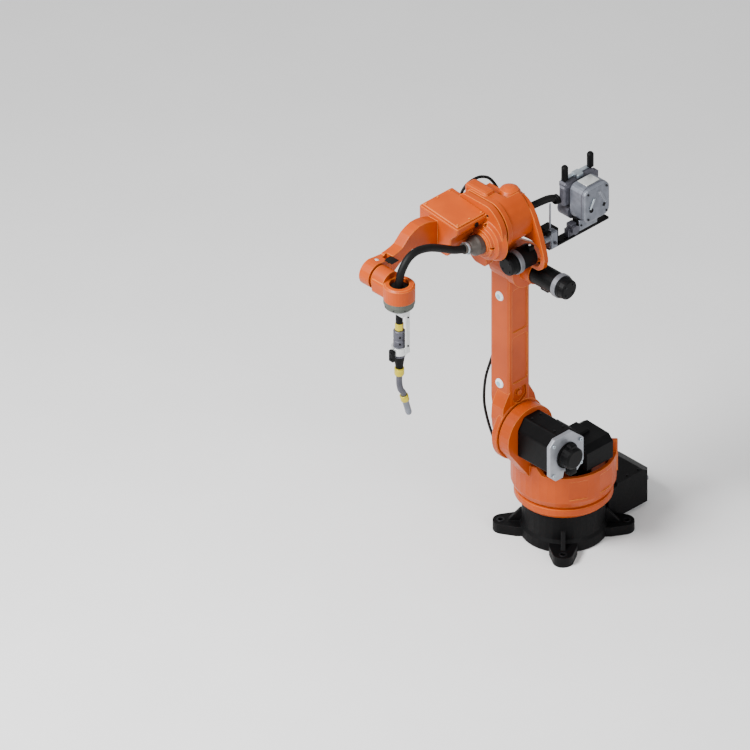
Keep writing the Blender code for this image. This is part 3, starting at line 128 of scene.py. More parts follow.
def aim_camera(azimuth, elevation, across, rise, frame_m):
    """A camera with no perspective. across and rise move the frame's middle from the origin, in metres."""
    a = math.radians(azimuth)
    e = math.radians(elevation)
    back = Vector((math.cos(a) * math.cos(e), math.sin(a) * math.cos(e), math.sin(e)))
    right = Vector((-math.sin(a), math.cos(a), 0.0))
    up = back.cross(right)
    lens = bpy.data.cameras.new("camera")
    lens.type = "ORTHO"
    lens.ortho_scale = frame_m
    lens.clip_start = 0.5
    lens.clip_end = 60.0
    camera = bpy.data.objects.new("camera", lens)
    bpy.context.scene.collection.objects.link(camera)
    place = Matrix((right, up, back)).transposed().to_4x4()
    place.translation = back * CAMERA_AWAY + right * across + up * rise
    camera.matrix_world = place
    bpy.context.scene.camera = camera


aim_camera(VIEW_AZIMUTH, VIEW_ELEVATION, FRAME_ACROSS, FRAME_RISE, FRAME_PIXELS / PIXELS_PER_METRE)


# Finishes.

def linear(code):
    """An sRGB hex value as linear red, green, blue and alpha."""
    found = []
    for i in (0, 2, 4):
        c = int(code[i:i + 2], 16) / 255
        found.append(c / 12.92 if c <= 0.04045 else ((c + 0.055) / 1.055) ** 2.4)
    return (*found, 1.0)


def add(tree, kind, settings=(), links=()):
    """One node with its settings and with what feeds its sockets."""
    made = tree.nodes.new("ShaderNode" + kind)
    for key, value in dict(settings).items():
        if isinstance(key, str) and hasattr(made, key):
            setattr(made, key, value)
        else:
            made.inputs[key].default_value = value
    for key, source in dict(links).items():
        tree.links.new(source, made.inputs[key])
    return made


def finish(name, shade, other, worn_and_lit_edge=None, edge_wear_and_highlight=0.0, metallic=0.0, rough=0.4, swing=0.08, patch=0.09,
           grain=0.006, relief=0.0002, edge=0.002, stretch=(1.0, 1.0, 1.0), shader=()):
    """A finish with cloudy colour, paler edges that are a painted highlight and in part wear, an uneven gloss
    and a fine relief.

    patch and grain are sizes on the object in metres, relief is a height, and edge is how wide an
    edge looks rounded. stretch draws the grain out along an axis, as a tool's marks are. A real
    skin's grain is finer than a pixel of the main view, so it is drawn coarser here.
    """
    made = bpy.data.materials.new(name)
    made.use_nodes = True
    tree = made.node_tree
    tree.nodes.clear()
    place = add(tree, "TexCoord").outputs["Object"]
    drawn = add(tree, "Mapping", {"Scale": stretch}, {"Vector": place}).outputs["Vector"]
    clouds = add(tree, "TexNoise", {"Scale": 1 / patch, "Detail": 4.0, "Roughness": 0.55}, {"Vector": place})
    share = add(tree, "MapRange", {"From Min": 0.36, "From Max": 0.64}, {"Value": clouds.outputs[0]})
    colour = add(tree, "Mix", {"data_type": "RGBA", 6: linear(shade), 7: linear(other)},
                 {0: share.outputs[0]}).outputs[2]
    round_edge = add(tree, "Bevel", {"samples": 5, "Radius": edge}).outputs["Normal"]
    # Every edge, inside corners as well as outside ones, is mixed towards the edge colour: a painted
    # highlight, which on some finishes also stands for wear.
    if worn_and_lit_edge:
        face = add(tree, "NewGeometry").outputs["Normal"]
        fold = add(tree, "VectorMath", {"operation": "DOT_PRODUCT"}, {0: round_edge, 1: face})
        worn_and_lit_edge_mask = add(tree, "MapRange", {"From Min": 0.995, "From Max": 0.88, "To Min": 0.0, "To Max": edge_wear_and_highlight},
                   {"Value": fold.outputs["Value"]})
        colour = add(tree, "Mix", {"data_type": "RGBA", 7: linear(worn_and_lit_edge)},
                     {0: worn_and_lit_edge_mask.outputs[0], 6: colour}).outputs[2]
    skin = add(tree, "TexNoise", {"Scale": 1 / grain, "Detail": 3.0, "Roughness": 0.6}, {"Vector": drawn})
    gloss = add(tree, "MapRange", {"To Min": rough - swing, "To Max": rough + swing, "From Min": 0.3,
                                   "From Max": 0.7}, {"Value": skin.outputs[0]})
    normal = add(tree, "Bump", {"Strength": 0.5, "Distance": relief},
                 {"Height": skin.outputs[0], "Normal": round_edge})
    body = add(tree, "BsdfPrincipled", {"Metallic": metallic, **dict(shader)},
               {"Base Color": colour, "Roughness": gloss.outputs[0], "Normal": normal.outputs["Normal"]})
    add(tree, "OutputMaterial", {}, {"Surface": body.outputs[0]})
    return made


# In the finishes below, the third colour is laid along each edge as a painted highlight, which also stands
# for wear where a comment says so.
# Two-pack orange enamel over a sand casting: satin, softly pebbled by the casting below it, and with a
# painted highlight that makes its edges paler. The pebbling is drawn at 7 mm so that it shows at this
# distance.
orange = finish("orange_enamel_on_casting", "B34500", "A53D00", "F0903A", 0.7, rough=0.42, swing=0.07,
                patch=0.12, grain=0.007, relief=0.00035, edge=0.004, shader={"Specular IOR Level": 0.25})
# The same enamel on a thin pressed or machined cover: flatter, a little glossier and a little paler, with the
# same painted highlight on its edges.
orange_cover = finish("orange_enamel_on_cover", "BC4A00", "B04300", "F69C44", 0.8, rough=0.38, swing=0.05,
                      patch=0.10, grain=0.010, relief=0.00015, edge=0.003,
                      shader={"Specular IOR Level": 0.3})
# Black stoved enamel on iron: nearly matt, and greyer along its edges, partly wear from boots and tools and
# partly a painted highlight.
black_iron = finish("black_enamel_on_casting", "050506", "09090A", "1C1C1D", 0.4, rough=0.55, swing=0.08,
                    patch=0.08, grain=0.006, relief=0.0004, edge=0.004, shader={"Specular IOR Level": 0.12})
# Black powder coat on sheet steel: a fine even orange peel, 5 mm in size so that it shows.
black_sheet = finish("black_powder_coat_on_steel", "040405", "080809", "1C1C1E", 0.4, rough=0.48, swing=0.06,
                     patch=0.06, grain=0.005, relief=0.0002, edge=0.003, shader={"Specular IOR Level": 0.1})
# Black anodised aluminium motor cases: a dull even black with a fine grain.
motor_black = finish("black_anodised_aluminium", "040405", "070708", "202022", 0.5, rough=0.46, swing=0.07,
                     patch=0.05, grain=0.004, relief=0.0001, edge=0.0015,
                     shader={"Specular IOR Level": 0.12})
# Moulded glass-filled nylon of grips, clamps and plugs: fine spark texture and almost no gloss.
nylon = finish("black_moulded_nylon", "040405", "070708", "1E1E20", 0.35, rough=0.55, swing=0.06, patch=0.03,
               grain=0.0025, relief=0.0001, edge=0.001, shader={"Specular IOR Level": 0.12})
# Bead-blasted grey zinc of the motor and gear rings and the socket panel: even, silky grey.
blasted = finish("bead_blasted_zinc", "6A6B70", "74757B", "A4A5AA", 0.5, metallic=0.5, rough=0.50, swing=0.07,
                 patch=0.04, grain=0.0025, relief=0.0001, edge=0.0015)
# Grey primer on the wrist's collar: a flat greenish grey between the orange and the bare metal.
dull_grey = finish("grey_primer", "484C46", "52564F", "7E827A", 0.4, rough=0.55, swing=0.06, patch=0.03,
                   grain=0.004, relief=0.0001, edge=0.0015, shader={"Specular IOR Level": 0.3})
# Milled aluminium plate: pale, with cutter lines along X, drawn 4 mm apart so that they show.
milled = finish("milled_aluminium_plate", "90939A", "9C9FA6", "D0D2D6", 0.6, metallic=0.6, rough=0.42,
                swing=0.09, patch=0.05, grain=0.004, relief=0.00012, edge=0.002, stretch=(0.15, 1.0, 1.0))
# Pressure die-cast aluminium of the wire feeder: mid grey, slightly mottled by the die. The torch's
# nozzle has the same dull look.
die_cast = finish("die_cast_aluminium", "676B74", "787C86", "B4B8C0", 0.7, metallic=0.5, rough=0.40,
                  swing=0.1, patch=0.025, grain=0.004, relief=0.0003, edge=0.004)
# Phosphated steel of the roll block, the feed motor and the torch's body: a darker, cooler grey.
phosphated = finish("phosphated_steel", "484850", "55555E", "8A8A92", 0.5, metallic=0.5, rough=0.48,
                    swing=0.08, patch=0.02, grain=0.003, relief=0.0001, edge=0.0015)
# Cast grey iron of the hose fitting, oiled against rust: a dull brown-grey with a rough skin.
grey_iron = finish("oiled_cast_iron", "38322E", "463F3A", "7A746C", 0.5, metallic=0.3, rough=0.52, swing=0.09,
                   patch=0.018, grain=0.003, relief=0.0003, edge=0.002)
# Clear-passivated zinc plate on screws, knobs, the latch, the bridge and the hose clip: bluish white.
zinc = finish("clear_zinc_plate", "AEB9C2", "BBC5CC", "DCE3E8", 0.4, metallic=0.8, rough=0.34, swing=0.08,
              patch=0.02, grain=0.002, relief=0.00005, edge=0.0008)
# Black-oxide socket screws: oily dark steel.
oxide = finish("black_oxide_steel", "17171A", "1E1E21", "3C3C40", 0.4, metallic=0.6, rough=0.42, swing=0.06,
               patch=0.01, grain=0.0015, relief=0.00005, edge=0.0006)
# Turned brass nuts: a pale yellow with fine level bands, brighter along their edges, partly where the spanner
# has been and partly as a painted highlight.
brass = finish("turned_brass", "BBA91C", "CBB92C", "F0E880", 0.7, metallic=0.5, rough=0.30, swing=0.08,
               patch=0.012, grain=0.0015, relief=0.00006, edge=0.0012, stretch=(1.0, 1.0, 3.0))
# White acetal caps: a waxy moulding with a blue-white cast.
acetal = finish("white_acetal", "E6EEF0", "EEF4F5", "F8FBFB", 0.4, rough=0.36, swing=0.05, patch=0.01,
                grain=0.002, relief=0.00005, edge=0.001, shader={"Subsurface Weight": 0.05})
# The same moulding dyed pale blue, for the plug in the middle of each cap.
blue_acetal = finish("pale_blue_acetal", "8DB8CC", "9CC4D6", "C4DEE8", 0.3, rough=0.40, swing=0.05,
                     patch=0.01, grain=0.002, relief=0.00005, edge=0.0008)
# Electroless nickel on the torch's bracket, and on a cap on the neck's eye and a plate on the feeder's case
# that are both
# painted highlights: near-white metal with a soft gloss.
nickel = finish("electroless_nickel", "C9CCCB", "D6D8D6", "F0F2F0", 0.5, metallic=0.55, rough=0.32,
                swing=0.08, patch=0.02, grain=0.003, relief=0.00006, edge=0.0012)
# Synthetic rubber of the hoses, the cables and the neck's flap: deep black, paler along its edges, partly
# dust and partly a painted highlight.
rubber = finish("synthetic_rubber", "040404", "090909", "171717", 0.3, rough=0.58, swing=0.09, patch=0.03,
                grain=0.003, relief=0.00015, edge=0.001, shader={"Specular IOR Level": 0.2})
# Drawn copper of the contact tip and the welding wire: pinkish metal with a clean, bright skin.
copper = finish("drawn_copper", "B87452", "C48460", "E0AE8C", 0.5, metallic=1.0, rough=0.32, swing=0.07,
                patch=0.006, grain=0.001, relief=0.00003, edge=0.0005)

CASTINGS = {
    orange: ("column_casting", "link_casting", "arm_housing", "arm_rear_plate", "forearm_casting",
             "wrist_casting"),
    orange_cover: ("link_hub_cover", "link_head_cover", "arm_dome", "forearm_lid"),
    black_iron: ("base_casting", "connector_box"),
    black_sheet: ("a1_motor", "a2_drive_cover", "feeder_rail"),
    motor_black: ("a2_encoder", "a3_motor", "a3_motor_cap", "a4_motor", "a4_motor_cap", "torch_stub"),
    nylon: ("tension_lever_front", "tension_lever_rear", "torch_clamp", "torch_taper"),
    blasted: ("a3_motor_ring", "a4_motor_ring", "a2_gear_ring", "a3_gear_ring", "a4_gear_ring",
              "bearing_ring", "connector_panel"),
    dull_grey: ("wrist_collar",),
    grey_iron: ("hose_fitting",),
    milled: ("a2_motor_plate", "tool_flange"),
    die_cast: ("feeder_case", "gas_valve", "torch_nozzle"),
    phosphated: ("roll_block", "torch_body", "torch_neck", "feed_motor"),
    brass: ("torch_nut_upper", "torch_nut_lower"),
    acetal: ("link_cap_lower", "link_cap_upper"),
    nickel: ("torch_bracket",),
    rubber: ("link_cable", "arm_cable", "torch_hose", "feeder_hose", "hose_seal"),
}
for material, names in CASTINGS.items():
    for node_name in names:
        for place in nodes[node_name].material_slots:
            place.material = material


# Shapes that several pieces are made of.

def facing(at, direction):
    """Moves a shape made along Z to a place, pointing in a direction."""
    turn = Vector(direction).to_track_quat("Z", "Y").to_matrix().to_4x4()
    return Matrix.Translation(at) @ turn


def put(mesh, shape, place):
    """Moves a shape to its place and adds it to a piece's mesh."""
    bmesh.ops.transform(shape, matrix=place, verts=shape.verts)
    data = bpy.data.meshes.new("shape")
    shape.to_mesh(data)
    shape.free()
    mesh.from_mesh(data)
    bpy.data.meshes.remove(data)


def turned(mesh, profile, place, sides=24, closed=False):
    """A profile of (radius, height) turned once round, then put in place."""
    shape = bmesh.new()
    line = [shape.verts.new((r, 0.0, h)) for r, h in profile]
    pairs = list(zip(line, line[1:])) + ([(line[-1], line[0])] if closed else [])
    edges = [shape.edges.new(pair) for pair in pairs]
    bmesh.ops.spin(shape, geom=line + edges, cent=(0, 0, 0), axis=(0, 0, 1), dvec=(0, 0, 0),
                   angle=math.tau, steps=sides, use_merge=True, use_duplicate=False)
    put(mesh, shape, place)


def block(mesh, low, high, soft=0.002, segments=2, place=Matrix.Identity(4)):
    """A rectangular piece with softened edges."""
    shape = bmesh.new()
    low, high = Vector(low), Vector(high)
    size = Matrix.Diagonal((*(high - low), 1.0))
    bmesh.ops.create_cube(shape, size=1.0, matrix=Matrix.Translation((low + high) / 2) @ size)
    bmesh.ops.bevel(shape, geom=shape.edges[:], offset=soft, offset_type="OFFSET", segments=segments,
                    profile=0.5, affect="EDGES", clamp_overlap=True, material=-1)
    put(mesh, shape, place)


def highest(shape):
    """The uppermost face of a shape, and the largest of them where several are level."""
    return max(shape.faces, key=lambda f: (round(f.calc_center_median().z, 6), f.calc_area()))


def socket_screw(mesh, at, direction, radius, height):
    """A socket-head cap screw: a chamfered head with its hexagon sunk into it."""
    shape = bmesh.new()
    bmesh.ops.create_cone(shape, cap_ends=True, cap_tris=False, segments=12, radius1=radius,
                          radius2=radius, depth=height, matrix=Matrix.Translation((0, 0, height / 2)))
    bmesh.ops.bevel(shape, geom=list(highest(shape).edges), offset=height * 0.15, offset_type="OFFSET",
                    segments=1, profile=0.5, affect="EDGES", clamp_overlap=True, material=-1)
    bmesh.ops.inset_individual(shape, faces=[highest(shape)], thickness=radius * 0.36, depth=0.0)
    well = bmesh.ops.extrude_discrete_faces(shape, faces=[highest(shape)])["faces"][0]
    bmesh.ops.translate(shape, vec=(0, 0, -height * 0.5), verts=list(well.verts))
    put(mesh, shape, facing(at, direction))


def ring_of(centre, axis, radius, count, start=0.0):
    """Places spread evenly on a circle round an axis."""
    turn = facing(centre, axis)
    found = []
    for k in range(count):
        angle = math.radians(start + 360 * k / count)
        found.append(turn @ Vector((radius * math.cos(angle), radius * math.sin(angle), 0.0)))
    return found


def smooth(points, per_span=5):
    """A Catmull-Rom curve through points."""
    found = []
    last = len(points) - 1
    for i in range(last):
        a, b, c, d = (Vector(points[min(max(i + k, 0), last)]) for k in (-1, 0, 1, 2))
        for j in range(per_span):
            t = j / per_span
            found.append(0.5 * (2 * b + (c - a) * t + (2 * a - 5 * b + 4 * c - d) * t * t
                                + (3 * b - a - 3 * c + d) * t ** 3))
    return found + [Vector(points[-1])]


def shown(name, mesh, material, sharp):
    """Turns a mesh's faces outwards, and makes it a piece with its finish and soft shading.

    Edges that fold by more than sharp degrees stay crisp.
    """
    bmesh.ops.recalc_face_normals(mesh, faces=mesh.faces)
    data = bpy.data.meshes.new(name)
    mesh.to_mesh(data)
    mesh.free()
    data.shade_smooth()
    data.set_sharp_from_angle(angle=math.radians(sharp))
    data.materials.append(material)
    piece = bpy.data.objects.new(name, data)
    bpy.context.scene.collection.objects.link(piece)
    return piece


def hardware(name, mesh, material, body, sharp=35):
    """Ends a piece: closed seams, its finish, and the body that carries it."""
    bmesh.ops.remove_doubles(mesh, verts=mesh.verts, dist=0.000002)
    piece = shown(name, mesh, material, sharp)
    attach(piece, body)


def screws(name, places, direction, radius, height, material, body):
    """Equal socket screws, all pointing one way."""
    mesh = bmesh.new()
    for at in places:
        socket_screw(mesh, at, direction, radius, height)
    hardware(name, mesh, material, body)


def hose(name, node, route, radius, ring=14):
    """A hose or cable in place of its solid: a ring of vertices carried along its route and bridged."""
    mesh = bmesh.new()
    loops = []
    up = Vector((0.0, 1.0, 0.0))
    for i, point in enumerate(route):
        ahead = (route[min(i + 1, len(route) - 1)] - route[max(i - 1, 0)]).normalized()
        side = ahead.cross(up).normalized()
        up = side.cross(ahead).normalized()
        turn = Matrix((side, up, ahead)).transposed().to_4x4()
        turn.translation = point
        circle = bmesh.ops.create_circle(mesh, cap_ends=False, segments=ring, radius=radius, matrix=turn)
        loops.append(list({e for v in circle["verts"] for e in v.link_edges}))
    for a, b in zip(loops, loops[1:]):
        bmesh.ops.bridge_loops(mesh, edges=a + b)
    bmesh.ops.holes_fill(mesh, edges=loops[0] + loops[-1], sides=0)
    piece = shown(name, mesh, rubber, 50)
    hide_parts(node)
    return piece


# Hoses and cables. Each follows the route of its solid, with more points.

def torch_hose():
    """The torch's hose leaves its fitting, arches over the forearm and goes down into the wrist."""
    fitting = facing(FITTING_FOOT, FITTING_AXIS)
    inner = fitting @ Vector((0.0, 0.0, 0.038))
    mouth = fitting @ Vector((0.0, 0.0, 0.078))
    clear = fitting @ Vector((0.0, 0.0, 0.092))
    x, z = mouth.x, mouth.z
    route = smooth([inner, mouth, clear, (x + 0.052, 0, z + 0.019), (x + 0.100, 0, z + 0.047),
                    (x + 0.166, 0, z + 0.081), (x + 0.226, 0, z + 0.096), (A5_X - 0.044, 0, A4_Z + 0.101),
                    (A5_X - 0.011, 0, A4_Z + 0.062), (A5_X, 0, A4_Z + 0.020), (A5_X, 0, A4_Z - 0.010)])
    piece = hose("torch_hose_rubber", "torch_hose", route, HOSE_R, 20)
    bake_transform(piece)


def link_cable():
    """The thin cable from the link's far side loops past the second axis into the column."""
    x, y, z = A2.x, LINK_BACK, A2.z
    way = Vector((0.745, -0.667, 0.0)).normalized()
    wall = way * (COLUMN_R + 0.0015) + Vector((0.0, 0.0, RIM_LOW - 0.018))
    route = smooth([(x + 0.020, y - 0.0055, z + 0.300), (x + 0.036, y - 0.012, z + 0.250),
                    (x + 0.056, y - 0.018, z + 0.180), (x + 0.062, y - 0.018, z + 0.090),
                    (x + 0.052, y - 0.010, z + 0.008), (x + 0.030, y - 0.008, z - 0.065),
                    (x + 0.006, y - 0.008, z - 0.130), wall + way * 0.012, wall])
    piece = hose("link_cable_rubber", "link_cable", route, LINK_CABLE_R)
    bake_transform(piece)


def arm_cable():
    """The thin cable arches over the fourth axis on the arm's far side."""
    side = -ARM_OUT - 0.010
    top = A4_Z + ARM_TOP
    x, y = COVER_MIDDLE.x, COVER_MIDDLE.y
    route = smooth([(x, y - 0.0004, A4_Z + 0.045), (x - 0.004, y - 0.028, A4_Z + 0.046),
                    (x - 0.018, y - 0.054, A4_Z + 0.058), (x - 0.004, side - 0.010, A4_Z + 0.090),
                    (x + 0.028, side - 0.012, top - 0.024), (x + 0.060, side - 0.013, top - 0.015),
                    (x + 0.100, side - 0.014, top - 0.019), (SEAM_X - 0.022, side - 0.016, top - 0.040),
                    (SEAM_X - 0.008, side - 0.019, A4_Z + 0.062),
                    (FORE_X + 0.0055, side - 0.018, A4_Z + 0.040)])
    piece = hose("arm_cable_rubber", "arm_cable", route, ARM_CABLE_R)
    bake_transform(piece)


def feeder_hose():
    """The wire hose from the roll block into the back of the arm housing, with a ferrule at each end."""
    route = smooth([(0.0183, -0.0123, 1.396), (0.0533, -0.0223, 1.406), (0.1217, -0.0403, 1.398),
                    (0.1497, -0.0463, 1.394), (0.1717, -0.0463, 1.394)], 8)
    piece = hose("feeder_hose_rubber", "feeder_hose", route, FEEDER_HOSE_R, 20)
    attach(piece, "arm")
    ferrule = [(0.0140, 0.0), (0.0185, 0.0), (0.0185, 0.007), (0.0165, 0.009), (0.0165, 0.015),
               (0.0140, 0.018)]
    mesh = bmesh.new()
    for at, way in ((route[0], AHEAD), (route[-1], BACK)):
        turned(mesh, ferrule, facing(at + Vector(way) * 0.0002, way), closed=True)
    hardware("feeder_hose_ferrules", mesh, nylon, "arm")


torch_hose()
link_cable()
arm_cable()
feeder_hose()


# Base.

def foot_bushes():
    """Hardened bushes round the four anchor holes."""
    foot_top = 0.0381
    holes_ring = 0.222
    bush = [(0.0092, -0.004), (0.0092, 0.0014), (0.0140, 0.0014), (0.0146, 0.0008), (0.0146, 0.0)]
    mesh = bmesh.new()
    for at in ring_of((0, 0, foot_top), UP, holes_ring, 4, 45):
        turned(mesh, bush, facing(at, UP))
    hardware("foot_bushes", mesh, oxide, "base")


def connector_details():
    """Insulators and pins of the rear sockets, and the screws of the panel and of the box."""
    panel_x = -0.3516
    box_top = 0.1603
    insulator = [(0.0, 0.004), (0.0086, 0.004), (0.0088, 0.0036), (0.0088, 0.0), (0.0, 0.0)]
    pin = [(0.0, 0.003), (0.0009, 0.003), (0.0011, 0.0), (0.0, 0.0)]
    mesh = bmesh.new()
    pins = bmesh.new()
    for y, z in ((-0.032, 0.058), (0.012, 0.058), (0.042, 0.072)):
        out = facing((panel_x, y, z), BACK)
        turned(mesh, insulator, out, 20)
        for at in ring_of(out @ Vector((0, 0, 0.0041)), BACK, 0.0052, 6):
            turned(pins, pin, facing(at, BACK), 8)
    hardware("socket_insulators", mesh, nylon, "base")
    hardware("socket_pins", pins, brass, "base")
    places = [(panel_x, y, z) for y in (-0.058, 0.058) for z in (0.038, 0.108)]
    screws("panel_screws", places, BACK, 0.0032, 0.0026, zinc, "base")
    places = [(x, y, box_top) for x in (-0.282, -0.228) for y in (-0.087, 0.087)]
    screws("box_screws", places, UP, 0.0042, 0.0030, oxide, "base")


foot_bushes()
connector_details()


# Turning column.

def second_axis_details():
    """Screws of the motor plate and the drive cover, and the encoder's plugs, brass screw and flange."""
    plate_face = 0.2003
    cover_top = 0.5783
    places = [(A2.x + u, plate_face, A2.z + v) for u, v in ((0.066, 0.064), (0.066, -0.060),
                                                            (-0.066, -0.060), (-0.066, 0.036))]
    screws("motor_plate_screws", places, MOTOR_SIDE, 0.0068, 0.0060, zinc, "column")
    mesh = bmesh.new()
    block(mesh, (A2.x - 0.017, 0.2080, A2.z - 0.0680), (A2.x + 0.017, 0.2340, A2.z - 0.0420), 0.003)
    block(mesh, (A2.x - 0.010, 0.2110, A2.z + 0.0410), (A2.x + 0.010, 0.2320, A2.z + 0.0500))
    hardware("encoder_plugs", mesh, nylon, "column")
    screws("encoder_plug_screw", [(A2.x, 0.2215, A2.z + 0.0502)], UP, 0.0034, 0.0024, brass, "column")
    places = [(x, y, cover_top) for x in (0.156, 0.198) for y in (0.044, 0.156)]
    screws("drive_cover_screws", places, UP, 0.0042, 0.0030, oxide, "column")
    flange = [(0.0452, 0.0), (0.0500, 0.0), (0.0500, 0.0035), (0.0488, 0.0045), (0.0452, 0.0045)]
    mesh = bmesh.new()
    turned(mesh, flange, facing((A2.x, plate_face, A2.z), MOTOR_SIDE), 40, True)
    hardware("encoder_flange", mesh, motor_black, "column")


def tub_screws():
    """Screws inside the tub that hold the turning column to its bearing, where the tub is open."""
    tub_floor = 0.2623
    places = [p for p in ring_of((0, 0, tub_floor), UP, 0.150, 12, 10) if p.y > 0.030 and p.x < 0.1]
    screws("bearing_screws", places, UP, 0.0060, 0.0060, oxide, "column")


second_axis_details()
tub_screws()


# Link.

def link_details():
    """Screws of the two round covers, the plug in each white cap, and the clip where the cable starts."""
    cap_face = 0.2384
    places = ring_of((A2.x, COVER_FACE, A2.z), FAR_SIDE, 0.021, 4, 45)
    screws("hub_cover_screws", places, FAR_SIDE, 0.0032, 0.0030, oxide, "link")
    places = ring_of((A3.x, COVER_FACE, A3.z), FAR_SIDE, 0.034, 6)
    screws("head_cover_screws", places, FAR_SIDE, 0.0036, 0.0032, oxide, "link")
    places = [(cap_face, -0.0845, z) for z in (0.682, 1.050)]
    screws("cap_plugs", places, AHEAD, 0.0094, 0.0014, blue_acetal, "link")
    seat = facing((A2.x + 0.020, LINK_BACK - 0.0002, 0.793), FAR_SIDE)
    mesh = bmesh.new()
    block(mesh, (-0.010, -0.008, 0.0), (0.010, 0.008, 0.0030), 0.001, place=seat)
    hardware("link_cable_clip", mesh, nylon, "link")


link_details()


# Arm housing, with its motors.

def motor_details():
    """Tie screws in the motors' end caps, and the plugs on both motors, one of them white-capped."""
    a3_end = 0.2143
    a4_end = 0.3403
    places = ring_of((A3.x, a3_end, A3.z), MOTOR_SIDE, 0.024, 4, 45)
    screws("a3_cap_screws", places, MOTOR_SIDE, 0.0032, 0.0025, oxide, "arm")
    places = ring_of((a4_end, M4.y, M4.z), AHEAD, 0.024, 4, 45)
    screws("a4_cap_screws", places, AHEAD, 0.0032, 0.0022, oxide, "arm")
    mesh = bmesh.new()
    block(mesh, (0.226, 0.060, 1.322), (0.250, 0.084, 1.341))
    hardware("a4_plug", mesh, nylon, "arm")
    cap = [(0.0, 0.0035), (0.0034, 0.0035), (0.0046, 0.0022), (0.0046, 0.0), (0.0, 0.0)]
    mesh = bmesh.new()
    turned(mesh, cap, facing((0.238, 0.072, 1.3412), UP), 16)
    hardware("a4_plug_cap", mesh, acetal, "arm")
    mesh = bmesh.new()
    block(mesh, (A3.x - 0.014, 0.080, A3.z - 0.052), (A3.x + 0.014, 0.118, A3.z - 0.036), 0.003)
    hardware("a3_plug", mesh, nylon, "arm")


def housing_details():
    """Screws of the rear plate and of the back cover, and the gland where the arm's cable starts."""
    plate_back = 0.2015
    cover_back = 0.1718
    places = [(plate_back, y, A4_Z + z) for y, z in ((0.010, 0.098), (0.042, 0.078), (0.064, 0.040),
                                                     (0.078, -0.002), (0.010, -0.030))]
    screws("rear_plate_screws", places, BACK, 0.0058, 0.0055, oxide, "arm")
    places = [(cover_back, y, A4_Z + z) for y in (-0.086, -0.026) for z in (-0.054, 0.084)]
    screws("back_cover_screws", places, BACK, 0.0040, 0.0034, orange_cover, "arm")
    gland = [(0.0060, 0.0), (0.0100, 0.0), (0.0100, 0.004), (0.0072, 0.007), (0.0060, 0.007)]
    mesh = bmesh.new()
    turned(mesh, gland, facing(COVER_MIDDLE + Vector((0.0, -0.0006, 0.045)), FAR_SIDE), 16, True)
    hardware("arm_cable_gland", mesh, nylon, "arm")


motor_details()
housing_details()


# Wire feeder on the arm.

def case_details():
    """Gasket, latch, ports and cover screws of the feeder's gear case."""
    mesh = bmesh.new()
    bmesh.ops.create_cube(mesh, size=1.0, matrix=Matrix.Translation((FEED.x, 0.0835, FEED.z))
                          @ Matrix.Diagonal((0.1252, 0.003, 0.1392, 1.0)))
    corners = [e for e in mesh.edges if abs(e.verts[0].co.y - e.verts[1].co.y) > 0.001]
    bmesh.ops.bevel(mesh, geom=corners, offset=0.0285, offset_type="OFFSET", segments=8, profile=0.5,
                    affect="EDGES", clamp_overlap=True, material=-1)
    hardware("case_gasket", mesh, phosphated, "arm", 20)
    tilt = Matrix.Rotation(math.radians(-30), 4, "Y")
    mesh = bmesh.new()
    block(mesh, (-0.0045, 0.0, -0.022), (0.0045, 0.0035, 0.022), 0.0015,
          place=Matrix.Translation(FEED + Vector((0.026, 0.0003, 0.006))) @ tilt)
    hardware("case_latch", mesh, zinc, "arm")
    port = [(0.0, 0.0006), (0.0062, 0.0006), (0.0070, 0.0020), (0.0084, 0.0020), (0.0090, 0.0012),
            (0.0090, 0.0), (0.0, 0.0)]
    mesh = bmesh.new()
    turned(mesh, port, facing(FEED + Vector((0.029, 0.0003, -0.0205)), MOTOR_SIDE))
    block(mesh, (-0.0055, 0.0, -0.010), (0.0055, 0.0020, 0.010), 0.0009,
          place=Matrix.Translation(FEED + Vector((-0.035, 0.0003, -0.019))) @ tilt)
    hardware("case_ports", mesh, nylon, "arm")
    places = [FEED + Vector((x, 0.0002, z)) for x in (-0.045, 0.045) for z in (-0.052, 0.052)]
    screws("case_screws", places, MOTOR_SIDE, 0.0042, 0.0034, oxide, "arm")


def roll_details():
    """Knobs of the drive rolls, the bridge and pins that press them, and the wire with its inlet."""
    knob = [(0.0, 0.006), (0.0075, 0.006), (0.0085, 0.005), (0.0085, 0.0), (0.0, 0.0)]
    mesh = bmesh.new()
    for x in (-0.036, 0.036):
        for z in (0.008, 0.044):
            turned(mesh, knob, facing((FEED.x + x, ROLL_Y - 0.0002, FEED.z + z), FAR_SIDE), 18)
    hardware("roll_knobs", mesh, zinc, "arm")
    mesh = bmesh.new()
    for x in (-0.040, 0.040):
        block(mesh, (FEED.x + x - 0.026, -0.0180, 1.4625), (FEED.x + x + 0.026, -0.0020, 1.4680), 0.0018)
    block(mesh, (FEED.x - 0.016, -0.0170, 1.4545), (FEED.x + 0.016, 0.0170, 1.4760), 0.0050, 3)
    hardware("pressure_bridge", mesh, zinc, "arm")
    places = [(FEED.x + x, ROLL_Y - 0.0024, 1.450) for x in (-0.012, 0.012)]
    screws("pressure_pins", places, FAR_SIDE, 0.0045, 0.0040, zinc, "arm")
    inlet = [(0.0012, 0.0), (0.0070, 0.0), (0.0070, 0.010), (0.0050, 0.012), (0.0050, 0.018),
             (0.0034, 0.019), (0.0012, 0.019)]
    mesh = bmesh.new()
    turned(mesh, inlet, facing((FEED.x - 0.0884, WIRE_Y, WIRE_Z), BACK), 20, True)
    hardware("wire_inlet", mesh, brass, "arm")
    wire = [(0.0, 0.148), (0.0009, 0.148), (0.0009, 0.0), (0.0, 0.0)]
    mesh = bmesh.new()
    turned(mesh, wire, facing((FEED.x + 0.036, WIRE_Y, WIRE_Z), BACK), 10)
    hardware("welding_wire", mesh, copper, "arm")


